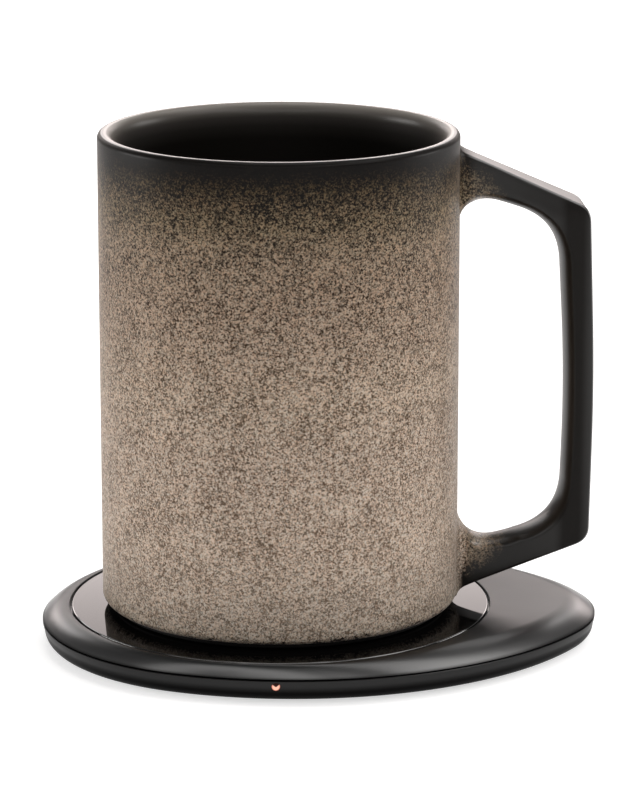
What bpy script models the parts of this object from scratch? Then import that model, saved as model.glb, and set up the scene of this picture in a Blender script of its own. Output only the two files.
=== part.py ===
"""Self-heating mug on its wireless heating coaster.

The mug is one fired ceramic body with a D-section handle. A pocket under its
floor holds a receiver coil, its board and a heater. The coaster is a flat
egg-shaped housing with a glossy plate, a transmitter coil and a driver board.
Lengths are in metres, +Z is up, the origin lies on the table under the mug's
axis, and +X runs along the handle and the coaster's narrow end.
"""
from math import atan2, cos, hypot, pi, radians, sin, sqrt

import bmesh
import bpy
from mathutils import Matrix, Vector

MM = 0.001

# Clearances shared by every seat
FIT_GAP = 0.3 * MM
OVERRUN = 2.0 * MM
MERGE = 0.01 * MM

# Coaster outline: a large circle, a small tip circle and two side arcs. The large
# circle is hardly wider than the plate, lies behind it, and the tip stands out past it
EGG_MAIN_MARGIN = 0.2 * MM
EGG_TIP_RADIUS = 31.0 * MM
EGG_SIDE_BULGE = 26.5 * MM
EGG_NOSE = 24.5 * MM
EGG_SHIFT = -6.4 * MM
EGG_TIP_STEPS = 6
EGG_SIDE_STEPS = 12
EGG_MAIN_STEPS = 9

# Coaster heights
MAT_THICKNESS = 0.5 * MM
MAT_MARGIN = 2.6 * MM
COIL_HEADROOM = 0.9 * MM
CROWN_DROP = 3.2 * MM
CROWN_WIDTH = 7.5 * MM
CROWN_LEDGE = 0.25 * MM
CROWN_STEPS = 5
CROWN_POWER = 1.835
CROWN_BLEND_POWER = 4

# Coaster shells
SHELL_WALL = 1.45 * MM
FLOOR_THICKNESS = 1.0 * MM
SIDE_TAPER = 0.38 * MM
SIDE_FOOT_HEIGHT = 3.0 * MM
SIDE_FOOT_INSET = 3.3 * MM
FOOT_WALL = 1.2 * MM
INNER_FOOT_HEIGHT = 1.5 * MM
FOOT_STEPS = 4
TONGUE_THICKNESS = 1.0 * MM
TONGUE_HEIGHT = 0.6 * MM
WEB_THICKNESS = 0.9 * MM
CROWN_WALL = 1.6 * MM
CROWN_CORE_INSET = 6.0 * MM

# Glossy plate and the tape that holds it
PLATE_RADIUS = 47.1 * MM
PLATE_THICKNESS = 0.9 * MM
PLATE_BEVEL = 0.3 * MM
PLATE_GROOVE = 0.45 * MM
TAPE_THICKNESS = 0.2 * MM
TAPE_MARGIN = 0.7 * MM
TAPE_WIDTH = 6.4 * MM
ROUND_SEGMENTS = 64
HIDDEN_SEGMENTS = 24
SMALL_SEGMENTS = 10
SCREW_SEGMENTS = 8

# Transmitter coil, its ferrite and its metal shield
TX_WIRE = 1.5 * MM
TX_PITCH = 2.5 * MM
TX_RUN_IN_RADIUS = 7.0 * MM
TX_INNER_RADIUS = 10.8 * MM
TX_PLATE_MARGIN = 18.8 * MM
LEAD_GAP = 0.45 * MM
LEAD_LANDING = 2.4 * MM
LEAD_RISE_SHARES = (0.7, 0.9, 1.0)
WIRE_STEPS = 16
FERRITE_THICKNESS = 0.8 * MM
FERRITE_MARGIN = 2.0 * MM
SHIELD_THICKNESS = 0.5 * MM
SHIELD_MARGIN = 1.0 * MM
SHIELD_RIB_WIDTH = 2.4 * MM
SENSOR_RADIUS = 2.0 * MM
SENSOR_HEIGHT = 1.5 * MM
SENSOR_POST_RADIUS = 3.0 * MM

# Driver board and what is soldered to it. The tall parts stand in the nose, a
# little outside the wall that backs the plate's recess
BOARD_THICKNESS = 0.8 * MM
BOARD_INSET = 3.6 * MM
BOARD_COIL_MARGIN = 2.9 * MM
BOARD_STANDOFF = 0.8 * MM
CHIP_SIZE = (7.0 * MM, 7.0 * MM, 0.9 * MM)
CHIP_OFFSET = 6.85 * MM
INDUCTOR_SIZE = (7.0 * MM, 7.0 * MM, 2.5 * MM)
INDUCTOR_OFFSET = 4.85 * MM
INDUCTOR_Y = 13.0 * MM
CAPACITOR_SIZE = (3.2 * MM, 2.5 * MM, 1.7 * MM)
CAPACITOR_OFFSET = 4.85 * MM
CAPACITOR_Y = -12.5 * MM
CAPACITOR_PITCH = (4.4 * MM, 3.6 * MM)
SWITCH_SIZE = (3.3 * MM, 3.3 * MM, 0.9 * MM)
SWITCH_OFFSET = -3.65 * MM
SWITCH_PITCH = 4.6 * MM
SWITCH_COUNT = 4
PACKAGE_BEVEL = 0.15 * MM

# Power inlet in the back wall, its middle level with the board's top
PORT_X = -4.0 * MM
PORT_WIDTH = 8.94 * MM
PORT_HEIGHT = 3.16 * MM
PORT_LENGTH = 7.3 * MM
PORT_WALL = 0.3 * MM
PORT_RECESS = 0.6 * MM
PORT_OPENING_GAP = 0.17 * MM
TONGUE_BLADE_WIDTH = 6.7 * MM
TONGUE_BLADE_HEIGHT = 0.7 * MM
TONGUE_BLOCK_LENGTH = 1.5 * MM
TONGUE_SETBACK = 0.8 * MM
PORT_CORNER_STEPS = 4

# Status light in the front wall, level with the seat of the board's parts
LIGHT_X = -3.65 * MM
LIGHT_WINDOW_RADIUS = 0.95 * MM
LIGHT_RECESS = 0.35 * MM
LIGHT_RISE = 0.35 * MM
LED_SIZE = (2.0 * MM, 1.2 * MM, 1.0 * MM)

# Housing screws, driven from below into posts under the plate's edge
SCREW_PLATE_INSET = 2.7 * MM
SCREW_ANGLE = 22.5
SCREW_HEAD_RADIUS = 1.8 * MM
SCREW_HEAD_HEIGHT = 0.8 * MM
SCREW_HEAD_SINK = 0.1 * MM
SCREW_SHANK_RADIUS = 0.9 * MM
SCREW_SHANK_LENGTH = 4.1 * MM
SCREW_SOCKET_RADIUS = 0.8 * MM
SCREW_SOCKET_DEPTH = 0.4 * MM
POST_RADIUS = 2.3 * MM
BOSS_RADIUS = 3.4 * MM

# Mug body
MUG_RADIUS = 40.0 * MM
MUG_HEIGHT = 107.4 * MM
MUG_WALL = 3.5 * MM
MUG_LIP_THICKNESS = 2.6 * MM
MUG_LIP_TAPER = 16.0 * MM
MUG_FLOOR = 4.0 * MM
MUG_FLOOR_FILLET = 6.0 * MM
MUG_FOOT_RADIUS = 1.8 * MM
MUG_SEGMENTS = 56
POCKET_WALL = 6.0 * MM
POCKET_LEDGE = 1.8 * MM

# Handle: a sink goes into the mug's wall, a standoff comes out of it, a drop is
# below the lip and a rise is above the underside of the base
HANDLE_ROOT_SINK = 2.1 * MM
HANDLE_NECK_STANDOFF = 3.5 * MM
HANDLE_GRIP_STANDOFF = 30.35 * MM
HANDLE_TOP_DRAW = 1.45 * MM
HANDLE_LOW_DRAW = 0.75 * MM
HANDLE_TOP_ROOT_DROP = 3.4 * MM
HANDLE_TOP_CORNER_DROP = 17.15 * MM
HANDLE_GRIP_RISE = 50.7 * MM
HANDLE_LOW_CORNER_RISE = 14.15 * MM
HANDLE_LOW_ROOT_RISE = 2.0 * MM
FINGER_ROOT_SINK = 1.4 * MM
FINGER_TOP_STANDOFF = 3.4 * MM
FINGER_LOW_STANDOFF = 2.05 * MM
FINGER_GRIP_DEPTH = 6.05 * MM
FINGER_TOP_DRAW = 2.05 * MM
FINGER_LOW_DRAW = 1.0 * MM
FINGER_TOP_ROOT_DROP = 19.9 * MM
FINGER_TOP_NECK_DROP = 14.4 * MM
FINGER_TOP_CORNER_DROP = 20.2 * MM
FINGER_LOW_CORNER_RISE = 17.9 * MM
FINGER_LOW_NECK_RISE = 12.9 * MM
FINGER_LOW_ROOT_RISE = 24.0 * MM
HANDLE_ROOT_HALF_WIDTH = 5.6 * MM
HANDLE_NECK_HALF_WIDTH = 4.6 * MM
HANDLE_TOP_HALF_WIDTH = 6.7 * MM
HANDLE_GRIP_HALF_WIDTH = 6.0 * MM
HANDLE_EDGE_RADIUS = 1.1 * MM
HANDLE_ROUNDING = 3.0 * MM
HANDLE_ROUNDING_ANGLE = 60
NECK_BEND = 3.0 * MM
FINGER_TOP_NECK_BEND = 5.8 * MM
FINGER_LOW_NECK_BEND = 7.8 * MM
TOP_BEND = 2.9 * MM
FINGER_TOP_BEND = 9.9 * MM
GRIP_BEND = 15.0 * MM
LOW_BEND = 3.0 * MM
FINGER_LOW_BEND = 10.5 * MM
NECK_STEPS = 4
CORNER_STEPS = 6
GRIP_STEPS = 3

# Base cover: a flange under the foot and a plug in the pocket's mouth
COVER_INSET = 2.6 * MM
COVER_FLANGE = 0.9 * MM
COVER_PLUG = 1.2 * MM

# Heating stack in the mug's pocket
SEAL_THICKNESS = 0.7 * MM
SEAL_WIDTH = 1.1 * MM
RX_WIRE = 1.2 * MM
RX_TURNS = 7
RX_RUN_IN_RADIUS = 6.0 * MM
RX_INNER_RADIUS = 9.6 * MM
RX_COIL_MARGIN = 6.2 * MM
RX_LEAD_MARGIN = 2.2 * MM
RX_FERRITE_MARGIN = 1.0 * MM
RX_BOARD_MARGIN = 1.5 * MM
RX_CHIP_SIZE = (5.0 * MM, 5.0 * MM, 0.8 * MM)
RX_CHIP_RADIUS = 20.0 * MM
RX_CHIP_COUNT = 4
FELT_THICKNESS = 1.0 * MM
TRACK_THICKNESS = 0.4 * MM
TRACK_WIDTH = 3.4 * MM
TRACK_TURNS = 4
TRACK_INNER_RADIUS = 5.8 * MM
TRACK_MARGIN = 2.4 * MM
HEATER_THICKNESS = 0.9 * MM
HEATER_MARGIN = 1.8 * MM
PAD_THICKNESS = 0.5 * MM
BEAD_RADIUS = 2.0 * MM

# Coaster places that follow from the sizes above, from the table up
EGG_MAIN_RADIUS = PLATE_RADIUS + EGG_MAIN_MARGIN
EGG_SIDE_RADIUS = EGG_MAIN_RADIUS + EGG_SIDE_BULGE
EGG_REACH = PLATE_RADIUS + EGG_NOSE - EGG_SHIFT
MAT_INSET = SIDE_FOOT_INSET + MAT_MARGIN
INNER_FOOT_INSET = SIDE_FOOT_INSET + FOOT_WALL
SHELL_BASE = MAT_THICKNESS + FIT_GAP
FLOOR_TOP = SHELL_BASE + FLOOR_THICKNESS
SHIELD_BASE = FLOOR_TOP + COIL_HEADROOM
SHIELD_TOP = SHIELD_BASE + SHIELD_THICKNESS
FERRITE_BASE = SHIELD_TOP + FIT_GAP
FERRITE_TOP = FERRITE_BASE + FERRITE_THICKNESS
TX_COIL_HEIGHT = FERRITE_TOP + FIT_GAP + TX_WIRE / 2
TX_LEAD_HEIGHT = TX_COIL_HEIGHT - TX_WIRE - LEAD_GAP
WEB_UNDERSIDE = TX_COIL_HEIGHT + TX_WIRE / 2 + FIT_GAP
RECESS_FLOOR = WEB_UNDERSIDE + WEB_THICKNESS
TAPE_BASE = RECESS_FLOOR + FIT_GAP
PLATE_BASE = TAPE_BASE + TAPE_THICKNESS + FIT_GAP
COASTER_HEIGHT = PLATE_BASE + PLATE_THICKNESS
EDGE_HEIGHT = COASTER_HEIGHT - CROWN_DROP
UPPER_EDGE = EDGE_HEIGHT + FIT_GAP / 2
LOWER_EDGE = EDGE_HEIGHT - FIT_GAP / 2
RIB_TOP = min(SHIELD_BASE, TX_LEAD_HEIGHT - TX_WIRE / 2) - FIT_GAP
BOARD_BASE = FLOOR_TOP + BOARD_STANDOFF + FIT_GAP
BOARD_TOP = BOARD_BASE + BOARD_THICKNESS
PART_SEAT = BOARD_TOP + FIT_GAP
PORT_CENTRE_HEIGHT = BOARD_TOP
LIGHT_CENTRE_HEIGHT = PART_SEAT + LIGHT_RISE
TX_PAD_HEIGHT = PART_SEAT + TX_WIRE / 2

# Coaster radii and places along it
RECESS_RADIUS = PLATE_RADIUS + PLATE_GROOVE
BACKING_RADIUS = RECESS_RADIUS + CROWN_WALL
TAPE_OUTER_RADIUS = PLATE_RADIUS - TAPE_MARGIN
TAPE_INNER_RADIUS = TAPE_OUTER_RADIUS - TAPE_WIDTH
TX_TURNS = round((PLATE_RADIUS - TX_PLATE_MARGIN - TX_INNER_RADIUS) / TX_PITCH)
TX_OUTER_RADIUS = TX_INNER_RADIUS + TX_TURNS * TX_PITCH
TX_CORE_RADIUS = TX_INNER_RADIUS + TX_WIRE / 2 + FIT_GAP
FERRITE_RADIUS = TX_OUTER_RADIUS + FERRITE_MARGIN
SHIELD_RADIUS = FERRITE_RADIUS + SHIELD_MARGIN
BOARD_HOLE_RADIUS = SHIELD_RADIUS + BOARD_COIL_MARGIN
TX_LEAD_REACH = BOARD_HOLE_RADIUS + LEAD_LANDING
SCREW_REACH = PLATE_RADIUS - SCREW_PLATE_INSET
SCREW_TIP = SHELL_BASE + SCREW_HEAD_SINK + SCREW_HEAD_HEIGHT + SCREW_SHANK_LENGTH
PORT_FRONT_LIMIT = PORT_LENGTH + PORT_RECESS

# Mug places that follow, from the plate up
MUG_REST = COASTER_HEIGHT + FIT_GAP
MUG_TOP = MUG_REST + MUG_HEIGHT
MUG_FOOT = MUG_REST + COVER_FLANGE + FIT_GAP
COVER_TOP = MUG_REST + COVER_FLANGE + COVER_PLUG
COVER_RADIUS = MUG_RADIUS - COVER_INSET
POCKET_RADIUS = MUG_RADIUS - POCKET_WALL
LEDGE_RADIUS = POCKET_RADIUS + POCKET_LEDGE
LEDGE_HEIGHT = COVER_TOP + SEAL_THICKNESS + 2 * FIT_GAP
RX_COIL_HEIGHT = COVER_TOP + FIT_GAP + RX_WIRE / 2
RX_LEAD_HEIGHT = RX_COIL_HEIGHT + RX_WIRE + LEAD_GAP
RX_OUTER_RADIUS = POCKET_RADIUS - RX_COIL_MARGIN
RX_PITCH = (RX_OUTER_RADIUS - RX_INNER_RADIUS) / RX_TURNS
RX_LEAD_REACH = POCKET_RADIUS - RX_LEAD_MARGIN
RX_CORE_RADIUS = RX_INNER_RADIUS + RX_WIRE / 2 + FIT_GAP
RX_FERRITE_BASE = RX_COIL_HEIGHT + RX_WIRE / 2 + FIT_GAP
RX_BOARD_BASE = RX_LEAD_HEIGHT + RX_WIRE / 2 + FIT_GAP
RX_BOARD_TOP = RX_BOARD_BASE + BOARD_THICKNESS
RX_BOARD_RADIUS = POCKET_RADIUS - RX_BOARD_MARGIN
RX_CHIP_SEAT = RX_BOARD_TOP + FIT_GAP
FELT_BASE = RX_CHIP_SEAT + RX_CHIP_SIZE[2] + FIT_GAP
TRACK_BASE = FELT_BASE + FELT_THICKNESS + FIT_GAP
HEATER_BASE = TRACK_BASE + TRACK_THICKNESS + FIT_GAP
HEATER_TOP = HEATER_BASE + HEATER_THICKNESS
HEATER_RADIUS = POCKET_RADIUS - HEATER_MARGIN
TRACK_OUTER_RADIUS = HEATER_RADIUS - TRACK_MARGIN
PAD_BASE = HEATER_TOP + FIT_GAP
POCKET_TOP = PAD_BASE + PAD_THICKNESS + FIT_GAP
FLOOR_HEIGHT = POCKET_TOP + MUG_FLOOR

# Handle reaches, from the mug's axis
HANDLE_ROOT_REACH = MUG_RADIUS - HANDLE_ROOT_SINK
HANDLE_NECK_REACH = MUG_RADIUS + HANDLE_NECK_STANDOFF
HANDLE_GRIP_REACH = MUG_RADIUS + HANDLE_GRIP_STANDOFF
HANDLE_TOP_REACH = HANDLE_GRIP_REACH - HANDLE_TOP_DRAW
HANDLE_LOW_REACH = HANDLE_GRIP_REACH - HANDLE_LOW_DRAW
FINGER_ROOT_REACH = MUG_RADIUS - FINGER_ROOT_SINK
FINGER_TOP_NECK_REACH = MUG_RADIUS + FINGER_TOP_STANDOFF
FINGER_LOW_NECK_REACH = MUG_RADIUS + FINGER_LOW_STANDOFF
FINGER_GRIP_REACH = HANDLE_GRIP_REACH - FINGER_GRIP_DEPTH
FINGER_TOP_REACH = FINGER_GRIP_REACH - FINGER_TOP_DRAW
FINGER_LOW_REACH = FINGER_GRIP_REACH - FINGER_LOW_DRAW

FINISHES = {
    "stoneware": ((0.30, 0.25, 0.20), 0.75, 0.0),
    "black_plastic": ((0.022, 0.021, 0.021), 0.42, 0.0),
    "gloss_black": ((0.006, 0.006, 0.007), 0.05, 0.0),
    "tape_white": ((0.70, 0.70, 0.68), 0.60, 0.0),
    "led_white": ((0.78, 0.78, 0.74), 0.30, 0.0),
    "silicone_black": ((0.030, 0.030, 0.032), 0.80, 0.0),
    "copper": ((0.72, 0.32, 0.16), 0.35, 1.0),
    "ferrite": ((0.050, 0.048, 0.050), 0.55, 0.0),
    "aluminium": ((0.72, 0.73, 0.75), 0.35, 1.0),
    "board_green": ((0.02, 0.12, 0.06), 0.45, 0.0),
    "chip_black": ((0.02, 0.02, 0.022), 0.40, 0.0),
    "ceramic_tan": ((0.42, 0.28, 0.16), 0.50, 0.0),
    "steel": ((0.60, 0.60, 0.62), 0.30, 1.0),
    "clear_plastic": ((0.90, 0.45, 0.30), 0.20, 0.0),
    "felt_grey": ((0.48, 0.47, 0.45), 0.95, 0.0),
    "pad_blue": ((0.25, 0.36, 0.50), 0.70, 0.0),
}


def clear_scene():
    """Remove what the file opened with."""
    for item in list(bpy.data.objects):
        bpy.data.objects.remove(item, do_unlink=True)


def new_collection(name):
    """Make a collection in the scene."""
    group = bpy.data.collections.new(name)
    bpy.context.scene.collection.children.link(group)
    return group


def finish(name):
    """Return the Principled material of that name, made on first use."""
    found = bpy.data.materials.get(name)
    if found:
        return found
    colour, roughness, metallic = FINISHES[name]
    made = bpy.data.materials.new(name)
    made.use_nodes = True
    made.diffuse_color = (*colour, 1)
    shader = made.node_tree.nodes["Principled BSDF"]
    shader.inputs["Base Color"].default_value = (*colour, 1)
    shader.inputs["Roughness"].default_value = roughness
    shader.inputs["Metallic"].default_value = metallic
    return made


def place(name, mesh, look):
    """Put a mesh in the model with its material."""
    item = bpy.data.objects.new(name, mesh)
    if not mesh.materials:
        mesh.materials.append(finish(look))
    PARTS.objects.link(item)
    return item


def guide(name, mesh):
    """Put a mesh among the forms that only cut or join others."""
    item = bpy.data.objects.new(name, mesh)
    item.hide_render = True
    item.display_type = "WIRE"
    GUIDES.objects.link(item)
    return item


def combine(item, form, operation):
    """Cut a form out of an item, or join it on."""
    change = item.modifiers.new(form.name, "BOOLEAN")
    change.operation = operation
    change.solver = "EXACT"
    change.object = form


def cut(item, form):
    combine(item, form, "DIFFERENCE")


def join(item, form):
    combine(item, form, "UNION")


def soften(item, width, segments=1):
    """Round an item's edges."""
    edge = item.modifiers.new("edges", "BEVEL")
    edge.width = width
    edge.segments = segments
    edge.limit_method = "ANGLE"
    edge.use_clamp_overlap = True


def loft_mesh(name, rings, closed=False):
    """Join rings of equal count, in order; an open loft is capped at both ends."""
    form = bmesh.new()
    rows = [[form.verts.new(point) for point in ring] for ring in rings]
    count = len(rows[0])
    pairs = list(zip(rows, rows[1:]))
    if closed:
        pairs.append((rows[-1], rows[0]))
    for low, high in pairs:
        for i in range(count):
            j = (i + 1) % count
            form.faces.new((low[i], low[j], high[j], high[i]))
    if not closed:
        form.faces.new(reversed(rows[0]))
        form.faces.new(rows[-1])
    bmesh.ops.recalc_face_normals(form, faces=form.faces)
    mesh = bpy.data.meshes.new(name)
    form.to_mesh(mesh)
    form.free()
    mesh.shade_smooth()
    mesh.set_sharp_from_angle(angle=radians(32))
    return mesh


def profile_mesh(name, points, closed=False):
    """Make a wire in the XZ plane for a Screw modifier."""
    form = bmesh.new()
    row = [form.verts.new((x, 0, z)) for x, z in points]
    for start, end in zip(row, row[1:]):
        form.edges.new((start, end))
    if closed:
        form.edges.new((row[-1], row[0]))
    mesh = bpy.data.meshes.new(name)
    form.to_mesh(mesh)
    form.free()
    return mesh


def turn(item, segments):
    """Turn an item's profile about +Z."""
    spin = item.modifiers.new("turned", "SCREW")
    spin.axis = "Z"
    spin.steps = segments
    spin.render_steps = segments
    spin.use_merge_vertices = True
    spin.merge_threshold = MERGE
    spin.use_smooth_shade = True


def ring_profile(inner, outer, low, high):
    """Section of a flat ring, running down its outer side."""
    return [(inner, high), (outer, high), (outer, low), (inner, low)]


def disc_profile(radius, low, high):
    """Section of a disc, from the axis out and down."""
    return [(0, high), (radius, high), (radius, low), (0, low)]


def turned(name, points, look, segments, closed=False):
    item = place(name, profile_mesh(name, points, closed), look)
    turn(item, segments)
    return item


def turned_guide(name, points, segments, closed=False):
    item = guide(name, profile_mesh(name, points, closed))
    turn(item, segments)
    return item


def block_mesh(name, size, places):
    """Boxes of one size, each standing on the place given for its base."""
    form = bmesh.new()
    for x, y, z in places:
        middle = Matrix.Translation((x, y, z + size[2] / 2))
        bmesh.ops.create_cube(form, size=1, matrix=middle @ Matrix.Diagonal((*size, 1)))
    mesh = bpy.data.meshes.new(name)
    form.to_mesh(mesh)
    form.free()
    return mesh


def packages(name, size, places, look):
    """Moulded component bodies with their edges broken, each its own object."""
    mesh = block_mesh(name, size, [(0, 0, 0)])
    for i, spot in enumerate(places, start=1):
        item = place(name if len(places) == 1 else f"{name}_{i}", mesh, look)
        item.location = spot
        soften(item, PACKAGE_BEVEL)


def rod_mesh(name, radius, length, segments, matrix):
    """A cylinder along its own Z, starting at the matrix's origin."""
    form = bmesh.new()
    shift = Matrix.Translation((0, 0, length / 2))
    bmesh.ops.create_cone(form, cap_ends=True, segments=segments, radius1=radius,
                          radius2=radius, depth=length, matrix=matrix @ shift)
    mesh = bpy.data.meshes.new(name)
    form.to_mesh(mesh)
    form.free()
    mesh.shade_smooth()
    mesh.set_sharp_from_angle(angle=radians(45))
    return mesh


def evaluated_mesh(item):
    """Take an item's shape with its modifiers."""
    graph = bpy.context.evaluated_depsgraph_get()
    graph.update()
    return bpy.data.meshes.new_from_object(item.evaluated_get(graph))


def tube(name, points, diameter, look):
    """One unbroken wire through the points, as a closed mesh."""
    wire = bpy.data.curves.new(name, "CURVE")
    wire.dimensions = "3D"
    wire.bevel_depth = diameter / 2
    wire.bevel_resolution = 1
    wire.use_fill_caps = True
    run = wire.splines.new("POLY")
    run.points.add(len(points) - 1)
    for slot, point in zip(run.points, points):
        slot.co = (*point, 1)
    drawn = guide(name + "_path", wire)
    mesh = evaluated_mesh(drawn)
    form = bmesh.new()
    form.from_mesh(mesh)
    bmesh.ops.remove_doubles(form, verts=form.verts, dist=MERGE)
    bmesh.ops.recalc_face_normals(form, faces=form.faces)
    form.to_mesh(mesh)
    form.free()
    mesh.materials.clear()
    mesh.shade_smooth()
    mesh.set_sharp_from_angle(angle=radians(60))
    item = place(name, mesh, look)
    item.matrix_world = drawn.matrix_world
    bpy.data.objects.remove(drawn, do_unlink=True)
    return item


def arc(centre_x, centre_z, reach_x, reach_z, start, end, steps):
    """Points of an elliptical arc, with both of its ends."""
    turns = [radians(start + (end - start) * i / steps) for i in range(steps + 1)]
    return [(centre_x + reach_x * cos(t), centre_z + reach_z * sin(t)) for t in turns]


def egg_outline():
    """Points of the coaster's outline with their outward normals, from the tip round."""
    tip_x = EGG_REACH - EGG_TIP_RADIUS
    main_drop = EGG_SIDE_RADIUS - EGG_MAIN_RADIUS
    tip_drop = EGG_SIDE_RADIUS - EGG_TIP_RADIUS
    side_x = (main_drop ** 2 - tip_drop ** 2 + tip_x ** 2) / (2 * tip_x)
    side_y = -sqrt(main_drop ** 2 - side_x ** 2)
    tip_end = atan2(-side_y, tip_x - side_x)
    main_start = atan2(-side_y, -side_x)
    arcs = ((tip_x, 0, EGG_TIP_RADIUS, 0, tip_end, EGG_TIP_STEPS),
            (side_x, side_y, EGG_SIDE_RADIUS, tip_end, main_start, EGG_SIDE_STEPS),
            (0, 0, EGG_MAIN_RADIUS, main_start, pi, EGG_MAIN_STEPS))
    half = []
    for x, y, radius, start, end, steps in arcs:
        for i in range(steps):
            t = start + (end - start) * i / steps
            way = Vector((cos(t), sin(t)))
            half.append((Vector((x + EGG_SHIFT, y)) + way * radius, way))
    back = (Vector((EGG_SHIFT - EGG_MAIN_RADIUS, 0)), Vector((-1, 0)))
    other = [(Vector((p.x, -p.y)), Vector((n.x, -n.y))) for p, n in reversed(half[1:])]
    return half + [back] + other


def egg_ring(inset, height):
    """The outline drawn in by an inset, or by one inset for each point."""
    insets = inset if isinstance(inset, list) else [inset] * len(OUTLINE)
    return [(*(p - n * d), height) for (p, n), d in zip(OUTLINE, insets)]


def round_ring(radius, height):
    """A circle about the mug's axis with its points in line with the outline's."""
    return [(*(p.normalized() * radius), height) for p, n in OUTLINE]


def crown_widths():
    """How far the rounded shoulder reaches in at each point of the outline."""
    widths = []
    for point, way in OUTLINE:
        along = point.dot(way)
        room = along - sqrt(along ** 2 - point.length_squared + RECESS_RADIUS ** 2)
        room -= CROWN_LEDGE
        shares = (room ** CROWN_BLEND_POWER + CROWN_WIDTH ** CROWN_BLEND_POWER)
        widths.append(room * CROWN_WIDTH / shares ** (1 / CROWN_BLEND_POWER))
    return widths


def upper_housing():
    """Crowned top shell with the plate's recess, a tongue and four screw posts."""
    tongue_outer = SHELL_WALL + FIT_GAP
    tongue_inner = tongue_outer + TONGUE_THICKNESS
    tongue_end = UPPER_EDGE - TONGUE_HEIGHT
    rings = [egg_ring(tongue_inner, WEB_UNDERSIDE),
             egg_ring(tongue_inner, tongue_end),
             egg_ring(tongue_outer, tongue_end),
             egg_ring(tongue_outer, UPPER_EDGE),
             egg_ring(0, UPPER_EDGE)]
    widths = crown_widths()
    fall = COASTER_HEIGHT - UPPER_EDGE
    for i in range(1, CROWN_STEPS + 1):
        share = i / CROWN_STEPS
        height = COASTER_HEIGHT - fall * (1 - share) ** CROWN_POWER
        rings.append(egg_ring([w * share for w in widths], height))
    rings.append(round_ring(RECESS_RADIUS, COASTER_HEIGHT))
    rings.append(round_ring(RECESS_RADIUS, RECESS_FLOOR))
    item = place("upper_housing", loft_mesh("upper_housing", rings), "black_plastic")

    core = guide("crown_core", loft_mesh("crown_core", [
        egg_ring(CROWN_CORE_INSET, WEB_UNDERSIDE - OVERRUN),
        egg_ring(CROWN_CORE_INSET, COASTER_HEIGHT - CROWN_WALL)]))
    keep = turned_guide("recess_backing", disc_profile(
        BACKING_RADIUS, WEB_UNDERSIDE - 2 * OVERRUN,
        COASTER_HEIGHT + OVERRUN), ROUND_SEGMENTS)
    cut(core, keep)
    cut(item, core)

    post_base = BOARD_BASE
    for i, (x, y) in enumerate(SCREW_PLACES):
        spot = Matrix.Translation((x, y, post_base))
        height = WEB_UNDERSIDE + WEB_THICKNESS / 2 - post_base
        post = guide(f"post_{i}", rod_mesh("post", POST_RADIUS, height, SMALL_SEGMENTS, spot))
        join(item, post)
        spot = Matrix.Translation((x, y, post_base - OVERRUN))
        depth = SCREW_TIP + FIT_GAP - post_base + OVERRUN
        bore = rod_mesh("pilot", SCREW_SHANK_RADIUS + FIT_GAP, depth, SMALL_SEGMENTS, spot)
        cut(item, guide(f"pilot_{i}", bore))
    cut(item, port_cutter("tongue_notch", PORT_HEIGHT / 2 + 2 * FIT_GAP))
    return item


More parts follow.
